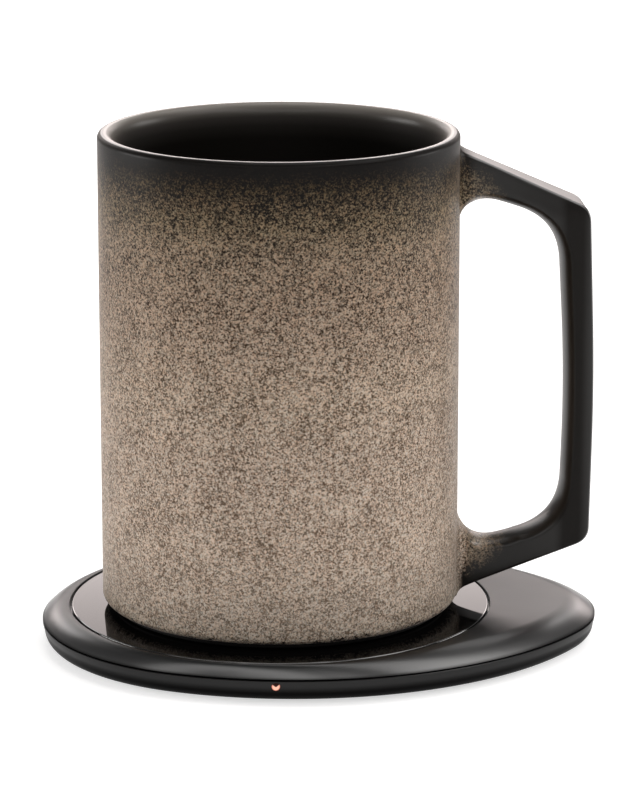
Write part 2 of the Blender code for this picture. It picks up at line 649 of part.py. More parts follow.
def lower_housing():
    """Tapered side wall and floor with screw bosses, ribs, inlet and light window."""
    foot_x = SIDE_FOOT_INSET - SIDE_TAPER
    corner = SHELL_BASE + SIDE_FOOT_HEIGHT
    rings = []
    for inset, height in reversed(arc(SIDE_FOOT_INSET, corner, -foot_x, -SIDE_FOOT_HEIGHT,
                                      0, 90, FOOT_STEPS)):
        rings.append(egg_ring(inset, height))
    rings.append(egg_ring(0, LOWER_EDGE))
    rings.append(egg_ring(SHELL_WALL, LOWER_EDGE))
    inner_x = INNER_FOOT_INSET - SHELL_WALL - SIDE_TAPER
    inner_corner = FLOOR_TOP + INNER_FOOT_HEIGHT
    for inset, height in arc(INNER_FOOT_INSET, inner_corner, -inner_x, -INNER_FOOT_HEIGHT,
                             0, 90, FOOT_STEPS - 1):
        rings.append(egg_ring(inset, height))
    item = place("lower_housing", loft_mesh("lower_housing", rings), "black_plastic")

    sunk = FLOOR_TOP - FLOOR_THICKNESS / 2
    rib_outer = SHIELD_RADIUS - SHIELD_RIB_WIDTH / 2
    rib = turned_guide("shield_rib", ring_profile(rib_outer - SHIELD_RIB_WIDTH, rib_outer,
                                                  sunk, RIB_TOP),
                       HIDDEN_SEGMENTS, closed=True)
    join(item, rib)
    post_top = FERRITE_TOP
    post = rod_mesh("sensor_post", SENSOR_POST_RADIUS, post_top - sunk, SMALL_SEGMENTS,
                    Matrix.Translation((0, 0, sunk)))
    join(item, guide("sensor_post", post))
    for i, (x, y) in enumerate(SCREW_PLACES):
        spot = Matrix.Translation((x, y, sunk))
        height = BOARD_BASE - FIT_GAP - sunk
        boss = rod_mesh("boss", BOSS_RADIUS, height, SMALL_SEGMENTS, spot)
        join(item, guide(f"boss_{i}", boss))
        spot = Matrix.Translation((x, y, SHELL_BASE - OVERRUN))
        sink = SCREW_HEAD_SINK + SCREW_HEAD_HEIGHT + FIT_GAP + OVERRUN
        well = rod_mesh("well", SCREW_HEAD_RADIUS + FIT_GAP, sink, SMALL_SEGMENTS, spot)
        cut(item, guide(f"well_{i}", well))
        hole = rod_mesh("hole", SCREW_SHANK_RADIUS + FIT_GAP, BOARD_BASE + 2 * OVERRUN,
                        SMALL_SEGMENTS, spot)
        cut(item, guide(f"hole_{i}", hole))
    cut(item, port_cutter("port_opening", PORT_HEIGHT / 2 + PORT_OPENING_GAP))
    window = Matrix.Translation((LIGHT_X, LIGHT_WALL_Y - OVERRUN, LIGHT_CENTRE_HEIGHT))
    window = window @ Matrix.Rotation(radians(-90), 4, "X")
    bore = rod_mesh("window", LIGHT_WINDOW_RADIUS, OVERRUN + SHELL_WALL + OVERRUN,
                    SMALL_SEGMENTS, window)
    cut(item, guide("light_window", bore))
    return item


def port_cutter(name, reach):
    """Clear the inlet's way through the back wall."""
    width = PORT_WIDTH + 2 * (FIT_GAP + PORT_OPENING_GAP)
    start = PORT_WALL_Y - PORT_FRONT_LIMIT
    size = (width, PORT_FRONT_LIMIT + OVERRUN, 2 * reach)
    middle = (PORT_X, start + size[1] / 2, PORT_CENTRE_HEIGHT - reach)
    form = guide(name, block_mesh(name, size, [middle]))
    return form


def plate_and_tape():
    """Glossy plate, flush with the crown, on its ring of tape."""
    plate = turned("top_plate", disc_profile(PLATE_RADIUS, PLATE_BASE, COASTER_HEIGHT),
                   "gloss_black", ROUND_SEGMENTS)
    soften(plate, PLATE_BEVEL)
    turned("plate_tape", ring_profile(TAPE_INNER_RADIUS, TAPE_OUTER_RADIUS, TAPE_BASE,
                                      TAPE_BASE + TAPE_THICKNESS),
           "tape_white", HIDDEN_SEGMENTS, closed=True)


def slip_mat():
    """Silicone mat under the whole floor."""
    rings = [egg_ring(MAT_INSET, 0), egg_ring(MAT_INSET, MAT_THICKNESS)]
    place("slip_mat", loft_mesh("slip_mat", rings), "silicone_black")


def coil_points(run_in, inner, pitch, turns, coil_z, lead_z, pad_z, reach):
    """Route of a pancake coil: lead in under the turns, spiral out, lead away."""
    lead_steps = 3
    lead_start = inner + (turns + 1 / 4) * pitch
    points = [(reach, run_in, pad_z), ((reach + lead_start) / 2, run_in, pad_z)]
    for i in range(lead_steps):
        points.append((lead_start * (1 - i / lead_steps), run_in, lead_z))
    run_steps = WIRE_STEPS * 3 // 4
    for i in range(run_steps):
        share = i / run_steps
        climb = min(1, share * 3 / 2)
        climb = climb * climb * (3 - 2 * climb)
        t = pi / 2 + share * 3 * pi / 2
        radius = run_in + (inner - run_in) * share
        points.append((radius * cos(t), radius * sin(t), lead_z + (coil_z - lead_z) * climb))
    last = turns * WIRE_STEPS - WIRE_STEPS // 8
    for i in range(last + 1):
        t = 2 * pi * i / WIRE_STEPS
        radius = inner + pitch * i / WIRE_STEPS
        points.append((radius * cos(t), radius * sin(t), coil_z))
    end = Vector(points[-1])
    away = Vector((cos(t + pi / 2), sin(t + pi / 2), 0))
    length = (reach - end.x) / away.x
    rise = Vector((0, 0, pad_z - coil_z))
    for share, lift in zip(LEAD_RISE_SHARES, (0, 1, 1)):
        points.append(tuple(end + away * length * share + rise * lift))
    return points


def least_gap(points, diameter, skip):
    """Smallest distance between stretches of a wire that aren't neighbours."""
    least = None
    for i, a in enumerate(points):
        for b in points[i + skip:]:
            apart = (Vector(a) - Vector(b)).length - diameter
            least = apart if least is None else min(least, apart)
    return least


def pancake_coil(name, route, diameter):
    """A wound coil, with its closest approach to itself printed."""
    print(name, "least gap mm", round(least_gap(route, diameter, WIRE_STEPS // 2) / MM, 2))
    tube(name, route, diameter, "copper")


def lead_slot(name, lead_y, wire, reach, low, high):
    """Clear the lead's way from the coil's middle out past a disc's edge."""
    width = wire + 2 * FIT_GAP
    size = (reach + OVERRUN, width, high - low + 2 * OVERRUN)
    return guide(name, block_mesh(name, size, [(size[0] / 2, lead_y, low - OVERRUN)]))


def coil_backing(name, inner, outer, low, high, look, lead_y, wire):
    """A ring behind a coil, slotted for the lead that crosses its turns."""
    item = turned(name, ring_profile(inner, outer, low, high), look, HIDDEN_SEGMENTS,
                  closed=True)
    cut(item, lead_slot(name + "_slot", lead_y, wire, outer, low, high))
    return item


def transmitter():
    """Coil, ferrite, shield and the sensor under the plate's middle."""
    route = coil_points(TX_RUN_IN_RADIUS, TX_INNER_RADIUS, TX_PITCH, TX_TURNS,
                        TX_COIL_HEIGHT, TX_LEAD_HEIGHT, TX_PAD_HEIGHT, TX_LEAD_REACH)
    pancake_coil("transmitter_coil", route, TX_WIRE)
    coil_backing("transmitter_ferrite", TX_CORE_RADIUS, FERRITE_RADIUS, FERRITE_BASE,
                 FERRITE_TOP, "ferrite", TX_RUN_IN_RADIUS, TX_WIRE)
    coil_backing("coil_shield", TX_CORE_RADIUS, SHIELD_RADIUS, SHIELD_BASE, SHIELD_TOP,
                 "aluminium", TX_RUN_IN_RADIUS, TX_WIRE)
    base = FERRITE_TOP + FIT_GAP
    turned("coil_sensor", disc_profile(SENSOR_RADIUS, base, base + SENSOR_HEIGHT),
           "chip_black", SMALL_SEGMENTS)


def driver_board():
    """Board ringed round the coil, with the parts that drive it."""
    item = place("driver_board", loft_mesh("driver_board", [
        egg_ring(BOARD_INSET, BOARD_BASE), egg_ring(BOARD_INSET, BOARD_TOP),
        round_ring(BOARD_HOLE_RADIUS, BOARD_TOP), round_ring(BOARD_HOLE_RADIUS, BOARD_BASE),
        ], closed=True), "board_green")
    for i, (x, y) in enumerate(SCREW_PLACES):
        spot = Matrix.Translation((x, y, BOARD_BASE - OVERRUN))
        hole = rod_mesh("board_hole", POST_RADIUS + FIT_GAP, BOARD_THICKNESS + 2 * OVERRUN,
                        SMALL_SEGMENTS, spot)
        cut(item, guide(f"board_hole_{i}", hole))
    cut(item, port_cutter("board_notch", PORT_HEIGHT / 2 + FIT_GAP))

    x = BACKING_RADIUS + CHIP_OFFSET
    packages("control_chip", CHIP_SIZE, [(x, 0, PART_SEAT)], "chip_black")
    x = BACKING_RADIUS + INDUCTOR_OFFSET
    packages("power_inductor", INDUCTOR_SIZE, [(x, INDUCTOR_Y, PART_SEAT)], "ferrite")
    x = BACKING_RADIUS + CAPACITOR_OFFSET
    y = CAPACITOR_Y
    step_x, step_y = CAPACITOR_PITCH
    spots = [(x + i * step_x / 2, y + j * step_y / 2, PART_SEAT)
             for i in (-1, 1) for j in (-1, 1)]
    packages("resonant_capacitor", CAPACITOR_SIZE, spots, "ceramic_tan")
    middle = (SWITCH_COUNT - 1) / 2
    x = BACKING_RADIUS + SWITCH_OFFSET
    spots = [(x, (i - middle) * SWITCH_PITCH, PART_SEAT) for i in range(SWITCH_COUNT)]
    packages("power_switch", SWITCH_SIZE, spots, "chip_black")


def stadium(width, height, length, start):
    """A slot-ended bar along +Y, as two rings."""
    radius = height / 2
    span = width / 2 - radius
    right = arc(span, 0, radius, radius, -90, 90, PORT_CORNER_STEPS)
    left = arc(-span, 0, radius, radius, 90, 270, PORT_CORNER_STEPS)
    flat = [(PORT_X + x, PORT_CENTRE_HEIGHT + z) for x, z in right + left]
    return [[(x, start, z) for x, z in flat], [(x, start + length, z) for x, z in flat]]


def power_inlet():
    """Steel shell open at the back wall, with the contact blade inside it."""
    front = PORT_WALL_Y - PORT_RECESS
    back = front - PORT_LENGTH
    outer = stadium(PORT_WIDTH, PORT_HEIGHT, PORT_LENGTH, back)
    inner = stadium(PORT_WIDTH - 2 * PORT_WALL, PORT_HEIGHT - 2 * PORT_WALL, PORT_LENGTH, back)
    rings = [outer[0], outer[1], inner[1], inner[0]]
    place("inlet_shell", loft_mesh("inlet_shell", rings, closed=True), "steel")

    block_width = PORT_WIDTH - 2 * (PORT_WALL + FIT_GAP)
    block_height = PORT_HEIGHT - 2 * (PORT_WALL + FIT_GAP)
    item = place("inlet_tongue", loft_mesh("inlet_tongue", stadium(
        block_width, block_height, TONGUE_BLOCK_LENGTH, back)), "chip_black")
    blade_length = PORT_LENGTH - TONGUE_SETBACK
    size = (TONGUE_BLADE_WIDTH, blade_length - TONGUE_BLOCK_LENGTH / 2, TONGUE_BLADE_HEIGHT)
    y = back + TONGUE_BLOCK_LENGTH / 2 + size[1] / 2
    blade = block_mesh("blade", size, [(PORT_X, y, PORT_CENTRE_HEIGHT - size[2] / 2)])
    join(item, guide("inlet_blade", blade))


def status_light():
    """Side-firing diode and the light pipe that fills the front wall's window."""
    pipe_front = LIGHT_WALL_Y + LIGHT_RECESS
    pipe_back = LIGHT_WALL_Y + BOARD_INSET - FIT_GAP
    aim = Matrix.Translation((LIGHT_X, pipe_front, LIGHT_CENTRE_HEIGHT))
    aim = aim @ Matrix.Rotation(radians(-90), 4, "X")
    pipe = rod_mesh("light_pipe", LIGHT_WINDOW_RADIUS - FIT_GAP, pipe_back - pipe_front,
                    SMALL_SEGMENTS, aim)
    place("light_pipe", pipe, "clear_plastic")
    y = pipe_back + FIT_GAP + LED_SIZE[1] / 2
    packages("indicator_led", LED_SIZE, [(LIGHT_X, y, PART_SEAT)], "led_white")


def housing_screws():
    """Socket-headed screws that hold the two shells together."""
    head_base = SHELL_BASE + SCREW_HEAD_SINK
    head_top = head_base + SCREW_HEAD_HEIGHT
    floor = head_base + SCREW_SOCKET_DEPTH
    section = [(0, SCREW_TIP), (SCREW_SHANK_RADIUS, SCREW_TIP), (SCREW_SHANK_RADIUS, head_top),
               (SCREW_HEAD_RADIUS, head_top), (SCREW_HEAD_RADIUS, head_base),
               (SCREW_SOCKET_RADIUS, head_base), (SCREW_SOCKET_RADIUS, floor), (0, floor)]
    mesh = profile_mesh("housing_screw", section)
    for i, (x, y) in enumerate(SCREW_PLACES, start=1):
        item = place(f"housing_screw_{i}", mesh, "steel")
        item.location = (x, y, 0)
        turn(item, SCREW_SEGMENTS)


def bend(before, corner, after, reach, steps):
    """Round a corner with a curve that starts and ends at a reach from it."""
    start = corner + (before - corner).normalized() * reach
    end = corner + (after - corner).normalized() * reach
    shares = [i / steps for i in range(steps + 1)]
    return [start * (1 - s) ** 2 + corner * 2 * s * (1 - s) + end * s ** 2 for s in shares]


def bent_path(corners, reaches):
    """A path through corners, each rounded in the same number of steps on every path."""
    steps = (NECK_STEPS, CORNER_STEPS, GRIP_STEPS, CORNER_STEPS, NECK_STEPS)
    path = [corners[0]]
    for i, (reach, count) in enumerate(zip(reaches, steps), start=1):
        path += bend(corners[i - 1], corners[i], corners[i + 1], reach, count)
    return path + [corners[-1]]


def handle_section(outer, inner, half_width):
    """D-shaped ring: a flat outer face with small edges and a rounded finger side."""
    start = Vector((outer[0], 0, outer[1]))
    across = Vector((inner[0], 0, inner[1])) - start
    depth = across.length
    inward = across.normalized()
    edge = HANDLE_EDGE_RADIUS
    rounding = min(HANDLE_ROUNDING, depth / 2)
    side = arc(half_width - edge, edge, edge, -edge, 90, 0, 2)
    side += arc(0, depth - rounding, half_width, rounding, 0, HANDLE_ROUNDING_ANGLE, 2)
    section = side + [(0, depth)] + [(-w, d) for w, d in reversed(side)]
    return [start + inward * d + Vector((0, w, 0)) for w, d in section]


def neck_height(root, corner, root_reach, corner_reach):
    """Height where a straight arm crosses the neck."""
    share = (HANDLE_NECK_REACH - root_reach) / (corner_reach - root_reach)
    return root + (corner - root) * share


def handle_form():
    """Loft of the handle from its upper root round to its lower one."""
    top_root = MUG_TOP - HANDLE_TOP_ROOT_DROP
    top_corner = MUG_TOP - HANDLE_TOP_CORNER_DROP
    grip = MUG_REST + HANDLE_GRIP_RISE
    low_corner = MUG_REST + HANDLE_LOW_CORNER_RISE
    low_root = MUG_REST + HANDLE_LOW_ROOT_RISE
    top_neck = neck_height(top_root, top_corner, HANDLE_ROOT_REACH, HANDLE_TOP_REACH)
    low_neck = neck_height(low_root, low_corner, HANDLE_ROOT_REACH, HANDLE_LOW_REACH)
    outer = [Vector(corner) for corner in (
        (HANDLE_ROOT_REACH, top_root, HANDLE_ROOT_HALF_WIDTH),
        (HANDLE_NECK_REACH, top_neck, HANDLE_NECK_HALF_WIDTH),
        (HANDLE_TOP_REACH, top_corner, HANDLE_TOP_HALF_WIDTH),
        (HANDLE_GRIP_REACH, grip, HANDLE_GRIP_HALF_WIDTH),
        (HANDLE_LOW_REACH, low_corner, HANDLE_GRIP_HALF_WIDTH),
        (HANDLE_NECK_REACH, low_neck, HANDLE_NECK_HALF_WIDTH),
        (HANDLE_ROOT_REACH, low_root, HANDLE_ROOT_HALF_WIDTH))]
    inner = [Vector(corner) for corner in (
        (FINGER_ROOT_REACH, MUG_TOP - FINGER_TOP_ROOT_DROP),
        (FINGER_TOP_NECK_REACH, MUG_TOP - FINGER_TOP_NECK_DROP),
        (FINGER_TOP_REACH, MUG_TOP - FINGER_TOP_CORNER_DROP),
        (FINGER_GRIP_REACH, grip),
        (FINGER_LOW_REACH, MUG_REST + FINGER_LOW_CORNER_RISE),
        (FINGER_LOW_NECK_REACH, MUG_REST + FINGER_LOW_NECK_RISE),
        (FINGER_ROOT_REACH, MUG_REST + FINGER_LOW_ROOT_RISE))]
    outer_path = bent_path(outer, (NECK_BEND, TOP_BEND, GRIP_BEND, LOW_BEND, NECK_BEND))
    inner_path = bent_path(inner, (FINGER_TOP_NECK_BEND, FINGER_TOP_BEND, GRIP_BEND,
                                   FINGER_LOW_BEND, FINGER_LOW_NECK_BEND))
    rings = [handle_section((o.x, o.y), (i.x, i.y), o.z)
             for o, i in zip(outer_path, inner_path)]
    return guide("handle_form", loft_mesh("handle_form", rings))


def mug_profile():
    """Half section of the mug, from its floor up, over the lip and down to the pocket."""
    inner = MUG_RADIUS - MUG_WALL
    lip_reach = MUG_LIP_THICKNESS / 2
    lip_height = MUG_TOP - lip_reach
    foot = MUG_FOOT_RADIUS
    points = [(0, FLOOR_HEIGHT)]
    points += arc(inner - MUG_FLOOR_FILLET, FLOOR_HEIGHT + MUG_FLOOR_FILLET,
                  MUG_FLOOR_FILLET, MUG_FLOOR_FILLET, -90, 0, 4)
    points.append((inner, lip_height - MUG_LIP_TAPER))
    points += arc(MUG_RADIUS - lip_reach, lip_height, lip_reach, lip_reach, 180, 0, 6)
    points += arc(MUG_RADIUS - foot, MUG_FOOT + foot, foot, foot, 0, -90, 3)
    points += [(LEDGE_RADIUS, MUG_FOOT), (LEDGE_RADIUS, LEDGE_HEIGHT),
               (POCKET_RADIUS, LEDGE_HEIGHT), (POCKET_RADIUS, POCKET_TOP), (0, POCKET_TOP)]
    return points


def mug_body():
    """Fired ceramic body, with the handle joined to its wall."""
    item = turned("mug_body", mug_profile(), "stoneware", MUG_SEGMENTS)
    join(item, handle_form())
    return item


def mug_base():
    """Cover that closes the pocket, with the seal under its ledge."""
    outer = LEDGE_RADIUS - FIT_GAP
    flange_top = MUG_REST + COVER_FLANGE
    section = [(0, COVER_TOP), (outer, COVER_TOP), (outer, flange_top),
               (COVER_RADIUS, flange_top), (COVER_RADIUS, MUG_REST), (0, MUG_REST)]
    turned("base_cover", section, "black_plastic", MUG_SEGMENTS)
    low = COVER_TOP + FIT_GAP
    turned("base_seal", ring_profile(outer - SEAL_WIDTH, outer, low, low + SEAL_THICKNESS),
           "silicone_black", HIDDEN_SEGMENTS, closed=True)


def receiver():
    """Coil, ferrite and board that take power through the plate."""
    route = coil_points(RX_RUN_IN_RADIUS, RX_INNER_RADIUS, RX_PITCH, RX_TURNS,
                        RX_COIL_HEIGHT, RX_LEAD_HEIGHT, RX_LEAD_HEIGHT, RX_LEAD_REACH)
    pancake_coil("receiver_coil", route, RX_WIRE)
    ferrite_radius = RX_OUTER_RADIUS + RX_FERRITE_MARGIN
    coil_backing("receiver_ferrite", RX_CORE_RADIUS, ferrite_radius, RX_FERRITE_BASE,
                 RX_FERRITE_BASE + FERRITE_THICKNESS, "ferrite", RX_RUN_IN_RADIUS, RX_WIRE)
    turned("receiver_board", ring_profile(RX_RUN_IN_RADIUS, RX_BOARD_RADIUS, RX_BOARD_BASE,
                                          RX_BOARD_TOP),
           "board_green", HIDDEN_SEGMENTS, closed=True)
    spots = []
    for i in range(RX_CHIP_COUNT):
        t = 2 * pi * (i + 1 / 2) / RX_CHIP_COUNT
        spots.append((RX_CHIP_RADIUS * cos(t), RX_CHIP_RADIUS * sin(t), RX_CHIP_SEAT))
    packages("rectifier_chip", RX_CHIP_SIZE, spots, "chip_black")


def heater_track():
    """Etched resistance track, a flat band wound outwards."""
    rings = []
    steps = TRACK_TURNS * WIRE_STEPS
    for i in range(steps + 1):
        t = 2 * pi * i / WIRE_STEPS
        middle = TRACK_INNER_RADIUS + (TRACK_OUTER_RADIUS - TRACK_INNER_RADIUS) * i / steps
        corners = ((-1, 0), (1, 0), (1, 1), (-1, 1))
        ring = []
        for side, lift in corners:
            radius = middle + side * TRACK_WIDTH / 2
            ring.append((radius * cos(t), radius * sin(t), TRACK_BASE + lift * TRACK_THICKNESS))
        rings.append(ring)
    place("heater_track", loft_mesh("heater_track", rings), "steel")


def heater():
    """Felt, track, spreading plate, sensor bead and the pad under the ceramic."""
    turned("insulation_felt", disc_profile(RX_BOARD_RADIUS, FELT_BASE,
                                           FELT_BASE + FELT_THICKNESS),
           "felt_grey", HIDDEN_SEGMENTS)
    heater_track()
    turned("heater_plate", ring_profile(BEAD_RADIUS + FIT_GAP, HEATER_RADIUS, HEATER_BASE,
                                        HEATER_TOP),
           "aluminium", HIDDEN_SEGMENTS, closed=True)
    turned("temperature_bead", disc_profile(BEAD_RADIUS, TRACK_BASE, HEATER_TOP),
           "chip_black", SMALL_SEGMENTS)
    turned("thermal_pad", disc_profile(HEATER_RADIUS, PAD_BASE, PAD_BASE + PAD_THICKNESS),
           "pad_blue", HIDDEN_SEGMENTS)


def wall_y(x):
    """How far the outline's side arc stands from the long axis at a place along it."""
    best = min(OUTLINE, key=lambda pair: hypot(pair[0].x - x, min(pair[0].y, 0)))
    point, way = best
    return point.y - (x - point.x) * way.x / way.y


clear_scene()
PARTS = new_collection("self_heating_mug")
GUIDES = new_collection("cutters")
OUTLINE = egg_outline()
PORT_WALL_Y = wall_y(PORT_X)
LIGHT_WALL_Y = -wall_y(LIGHT_X)
SCREW_X = SCREW_REACH * cos(radians(SCREW_ANGLE))
SCREW_Y = SCREW_REACH * sin(radians(SCREW_ANGLE))
SCREW_PLACES = [(i * SCREW_X, j * SCREW_Y) for i in (-1, 1) for j in (-1, 1)]

lower_housing()
upper_housing()
plate_and_tape()
slip_mat()
transmitter()
driver_board()
power_inlet()
status_light()
housing_screws()
mug_body()
mug_base()
receiver()
heater()
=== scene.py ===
"""The finished look of the self-heating mug on its heating coaster.

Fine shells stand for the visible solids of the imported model, every other solid
keeps its place and gets its material here. Lengths are in metres and +Z is up.
"""

from math import atan2, cos, hypot, pi, radians, sin, sqrt

import bmesh
import bpy
from mathutils import Matrix, Vector


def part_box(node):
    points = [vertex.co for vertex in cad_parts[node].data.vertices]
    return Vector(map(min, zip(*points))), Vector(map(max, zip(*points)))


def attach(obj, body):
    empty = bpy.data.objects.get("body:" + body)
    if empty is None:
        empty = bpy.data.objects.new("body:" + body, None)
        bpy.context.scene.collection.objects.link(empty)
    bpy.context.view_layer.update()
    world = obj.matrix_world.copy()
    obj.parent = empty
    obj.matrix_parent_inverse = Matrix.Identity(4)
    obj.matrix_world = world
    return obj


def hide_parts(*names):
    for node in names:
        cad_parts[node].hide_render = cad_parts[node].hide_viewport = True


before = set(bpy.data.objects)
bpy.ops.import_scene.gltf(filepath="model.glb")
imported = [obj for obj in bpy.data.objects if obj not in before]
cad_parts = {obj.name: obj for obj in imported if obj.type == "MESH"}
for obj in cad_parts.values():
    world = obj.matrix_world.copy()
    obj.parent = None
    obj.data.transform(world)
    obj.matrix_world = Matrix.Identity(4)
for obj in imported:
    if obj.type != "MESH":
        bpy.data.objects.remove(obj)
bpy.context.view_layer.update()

MM = 0.001
# How far a cutting tool runs past the face it cuts, and the air between fitted pieces
OVERRUN = 2.0 * MM
FIT_GAP = 0.3 * MM


def low_of(node):
    """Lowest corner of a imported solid's box."""
    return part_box(node)[0]


def high_of(node):
    """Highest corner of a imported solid's box."""
    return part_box(node)[1]


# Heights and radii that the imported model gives
COASTER_TOP = high_of("top_plate").z
PLATE_BASE = low_of("top_plate").z
PLATE_RADIUS = high_of("top_plate").x
RECESS_FLOOR = low_of("plate_tape").z - FIT_GAP
MAT_TOP = high_of("slip_mat").z
SHELL_BASE = low_of("lower_housing").z
BOARD_TOP = high_of("driver_board").z
WEB_UNDERSIDE = high_of("transmitter_coil").z + FIT_GAP
MUG_REST = low_of("base_cover").z
MUG_FOOT = low_of("mug_body").z
MUG_TOP = high_of("mug_body").z
MUG_RADIUS = -low_of("mug_body").x
COVER_RADIUS = high_of("base_cover").x
COVER_TOP = high_of("base_cover").z
POCKET_TOP = high_of("thermal_pad").z + FIT_GAP
HANDLE_GRIP_REACH = high_of("mug_body").x

# Coaster outline: a large circle, a small tip circle and two side arcs. The steps are
# those of half the tip, a side and half the large circle. The trim keeps the fine outline
# inside the box of the solids.
EGG_MAIN_RADIUS = 47.3 * MM
EGG_TIP_RADIUS = 31.0 * MM
EGG_SIDE_RADIUS = 73.8 * MM
EGG_SHIFT = low_of("upper_housing").x + EGG_MAIN_RADIUS
EGG_REACH = high_of("upper_housing").x - EGG_SHIFT
EGG_STEPS = (36, 72, 54)
EGG_TRIM = 0.03 * MM

# Coaster shells. The crown's shoulder has its full width where the plate leaves room for it
EDGE_HEIGHT = 5.8 * MM
CROWN_WIDTH = 7.5 * MM
CROWN_LEDGE = 0.25 * MM
CROWN_POWER = 1.835
CROWN_BLEND_POWER = 4
CROWN_STEPS = 28
CROWN_WALL = 1.6 * MM
CROWN_CORE_INSET = 6.0 * MM
RECESS_RADIUS = PLATE_RADIUS + 0.45 * MM
RECESS_EDGE = 0.25 * MM
RECESS_EDGE_STEPS = 5
SEAM_EDGE = 0.12 * MM
SHELL_WALL = 1.45 * MM
TONGUE_THICKNESS = 1.0 * MM
TONGUE_HEIGHT = 0.6 * MM
SIDE_TAPER = 0.38 * MM
SIDE_TAPER_POWER = 1.5
SIDE_STEPS = 6
SIDE_FOOT_HEIGHT = 3.0 * MM
SIDE_FOOT_INSET = 3.3 * MM
SIDE_FOOT_STEPS = 14
FLOOR_TOP = SHELL_BASE + 1.0 * MM
INNER_FOOT_INSET = 4.5 * MM
INNER_FOOT_HEIGHT = 1.5 * MM
INNER_FOOT_STEPS = 5
PLATE_EDGE = 0.32 * MM
PLATE_EDGE_STEPS = 8
MAT_INSET = 5.6 * MM
MAT_EDGE = 0.12 * MM

# Status light and power inlet
LIGHT_X = -3.65 * MM
LIGHT_Z = (low_of("light_pipe").z + high_of("light_pipe").z) / 2
LIGHT_RADIUS = 0.95 * MM
LENS_GAP = 0.05 * MM
LENS_DOME = 0.3 * MM
LENS_DOME_STEPS = 10
LENS_SEGMENTS = 48
LIGHT_WINDOW_SEGMENTS = 64
PORT_X = (low_of("inlet_shell").x + high_of("inlet_shell").x) / 2
PORT_Z = BOARD_TOP
PORT_GAP = 0.17 * MM
PORT_END_STEPS = 16
INLET_WALL = 0.3 * MM
INLET_LIP = 0.1 * MM

# Mug and its base cover
MUG_WALL = 3.5 * MM
LIP_ROUNDING = 1.2 * MM
LIP_ROUNDING_STEPS = 10
LIP_FLAT = 0.5 * MM
LIP_FALL = 3.0 * MM
LIP_FALL_STEPS = 20
MUG_FLOOR = 4.0 * MM
FLOOR_FILLET = 6.0 * MM
FLOOR_FILLET_STEPS = 12
FOOT_RADIUS = 1.8 * MM
FOOT_STEPS = 10
FLOOR_HEIGHT = POCKET_TOP + MUG_FLOOR
LEDGE_RADIUS = 35.8 * MM
POCKET_RADIUS = 34.0 * MM
LEDGE_HEIGHT = high_of("base_seal").z + FIT_GAP
COVER_EDGE = 0.2 * MM
COVER_EDGE_STEPS = 4
# Facets round the turned forms, and the height of the rows on the mug's wall
MUG_SEGMENTS = 224
ROW_PITCH = 2.0 * MM

# Outer corners of the handle: reach from the mug's axis, height above the table, half width
HANDLE_ROOT_REACH = MUG_RADIUS - 2.1 * MM
HANDLE_NECK_REACH = MUG_RADIUS + 3.5 * MM
HANDLE_OUTER = (
    (HANDLE_ROOT_REACH, MUG_TOP - 3.4 * MM, 5.6 * MM),
    (HANDLE_NECK_REACH, None, 4.6 * MM),
    (HANDLE_GRIP_REACH - 1.45 * MM, MUG_TOP - 17.15 * MM, 6.7 * MM),
    (HANDLE_GRIP_REACH, MUG_REST + 50.7 * MM, 6.0 * MM),
    (HANDLE_GRIP_REACH - 0.75 * MM, MUG_REST + 14.15 * MM, 6.0 * MM),
    (HANDLE_NECK_REACH, None, 4.6 * MM),
    (HANDLE_ROOT_REACH, MUG_REST + 2.0 * MM, 5.6 * MM))
# Places in that table of each neck, and of the root and the corner that it lies between
HANDLE_NECKS = ((1, 0, 2), (5, 6, 4))
# Corners on its finger side: reach and height
FINGER_GRIP_REACH = HANDLE_GRIP_REACH - 6.05 * MM
HANDLE_INNER = (
    (MUG_RADIUS - 1.4 * MM, MUG_TOP - 19.9 * MM),
    (MUG_RADIUS + 3.4 * MM, MUG_TOP - 14.4 * MM),
    (FINGER_GRIP_REACH - 2.05 * MM, MUG_TOP - 20.2 * MM),
    (FINGER_GRIP_REACH, MUG_REST + 50.7 * MM),
    (FINGER_GRIP_REACH - 1.0 * MM, MUG_REST + 17.9 * MM),
    (MUG_RADIUS + 2.05 * MM, MUG_REST + 12.9 * MM),
    (MUG_RADIUS - 1.4 * MM, MUG_REST + 24.0 * MM))
# The corners between both ends of each path: reach and steps of the bend, length and steps
# of the straight leads beside it, and then the steps of the runs between the corners
OUTER_BENDS = (3.0 * MM, 2.9 * MM, 15.0 * MM, 3.0 * MM, 3.0 * MM)
INNER_BENDS = (5.8 * MM, 9.9 * MM, 15.0 * MM, 10.5 * MM, 7.8 * MM)
BEND_STEPS = (12, 12, 10, 12, 12)
OUTER_LEADS = (0.0, 10.0 * MM, 0.0, 8.0 * MM, 0.0)
INNER_LEADS = (0.0,) * 5
LEAD_STEPS = (0, 14, 0, 14, 0)
RUN_STEPS = (8, 16, 20, 20, 16, 8)
WIDTH_BLEND = 3.0 * MM
HANDLE_EDGE = 0.75 * MM
HANDLE_ROUNDING = 2.6 * MM
# Steps of a section: half its outer face, an edge, a flank and half its finger side
FACE_STEPS = 4
EDGE_STEPS = 6
FLANK_STEPS = 4
ROUNDING_STEPS = 14
# Swelling at the roots: its radius, its share above and below, and the least lean of a
# face away from the mug's axis that lets it swell
ROOT_FILLET = 2.0 * MM
ROOT_FILLET_TOP_SHARE = 0.35
ROOT_LEAN = 0.1


def new_mesh(name, form):
    """Turn a closed bmesh into a mesh with its faces pointing out."""
    bmesh.ops.recalc_face_normals(form, faces=form.faces)
    mesh = bpy.data.meshes.new(name)
    form.to_mesh(mesh)
    form.free()
    return mesh


def shade(mesh, angle=32):
    """Smooth shading, with an edge kept sharp where it turns by more than the angle."""
    mesh.shade_smooth()
    mesh.set_sharp_from_angle(angle=radians(angle))


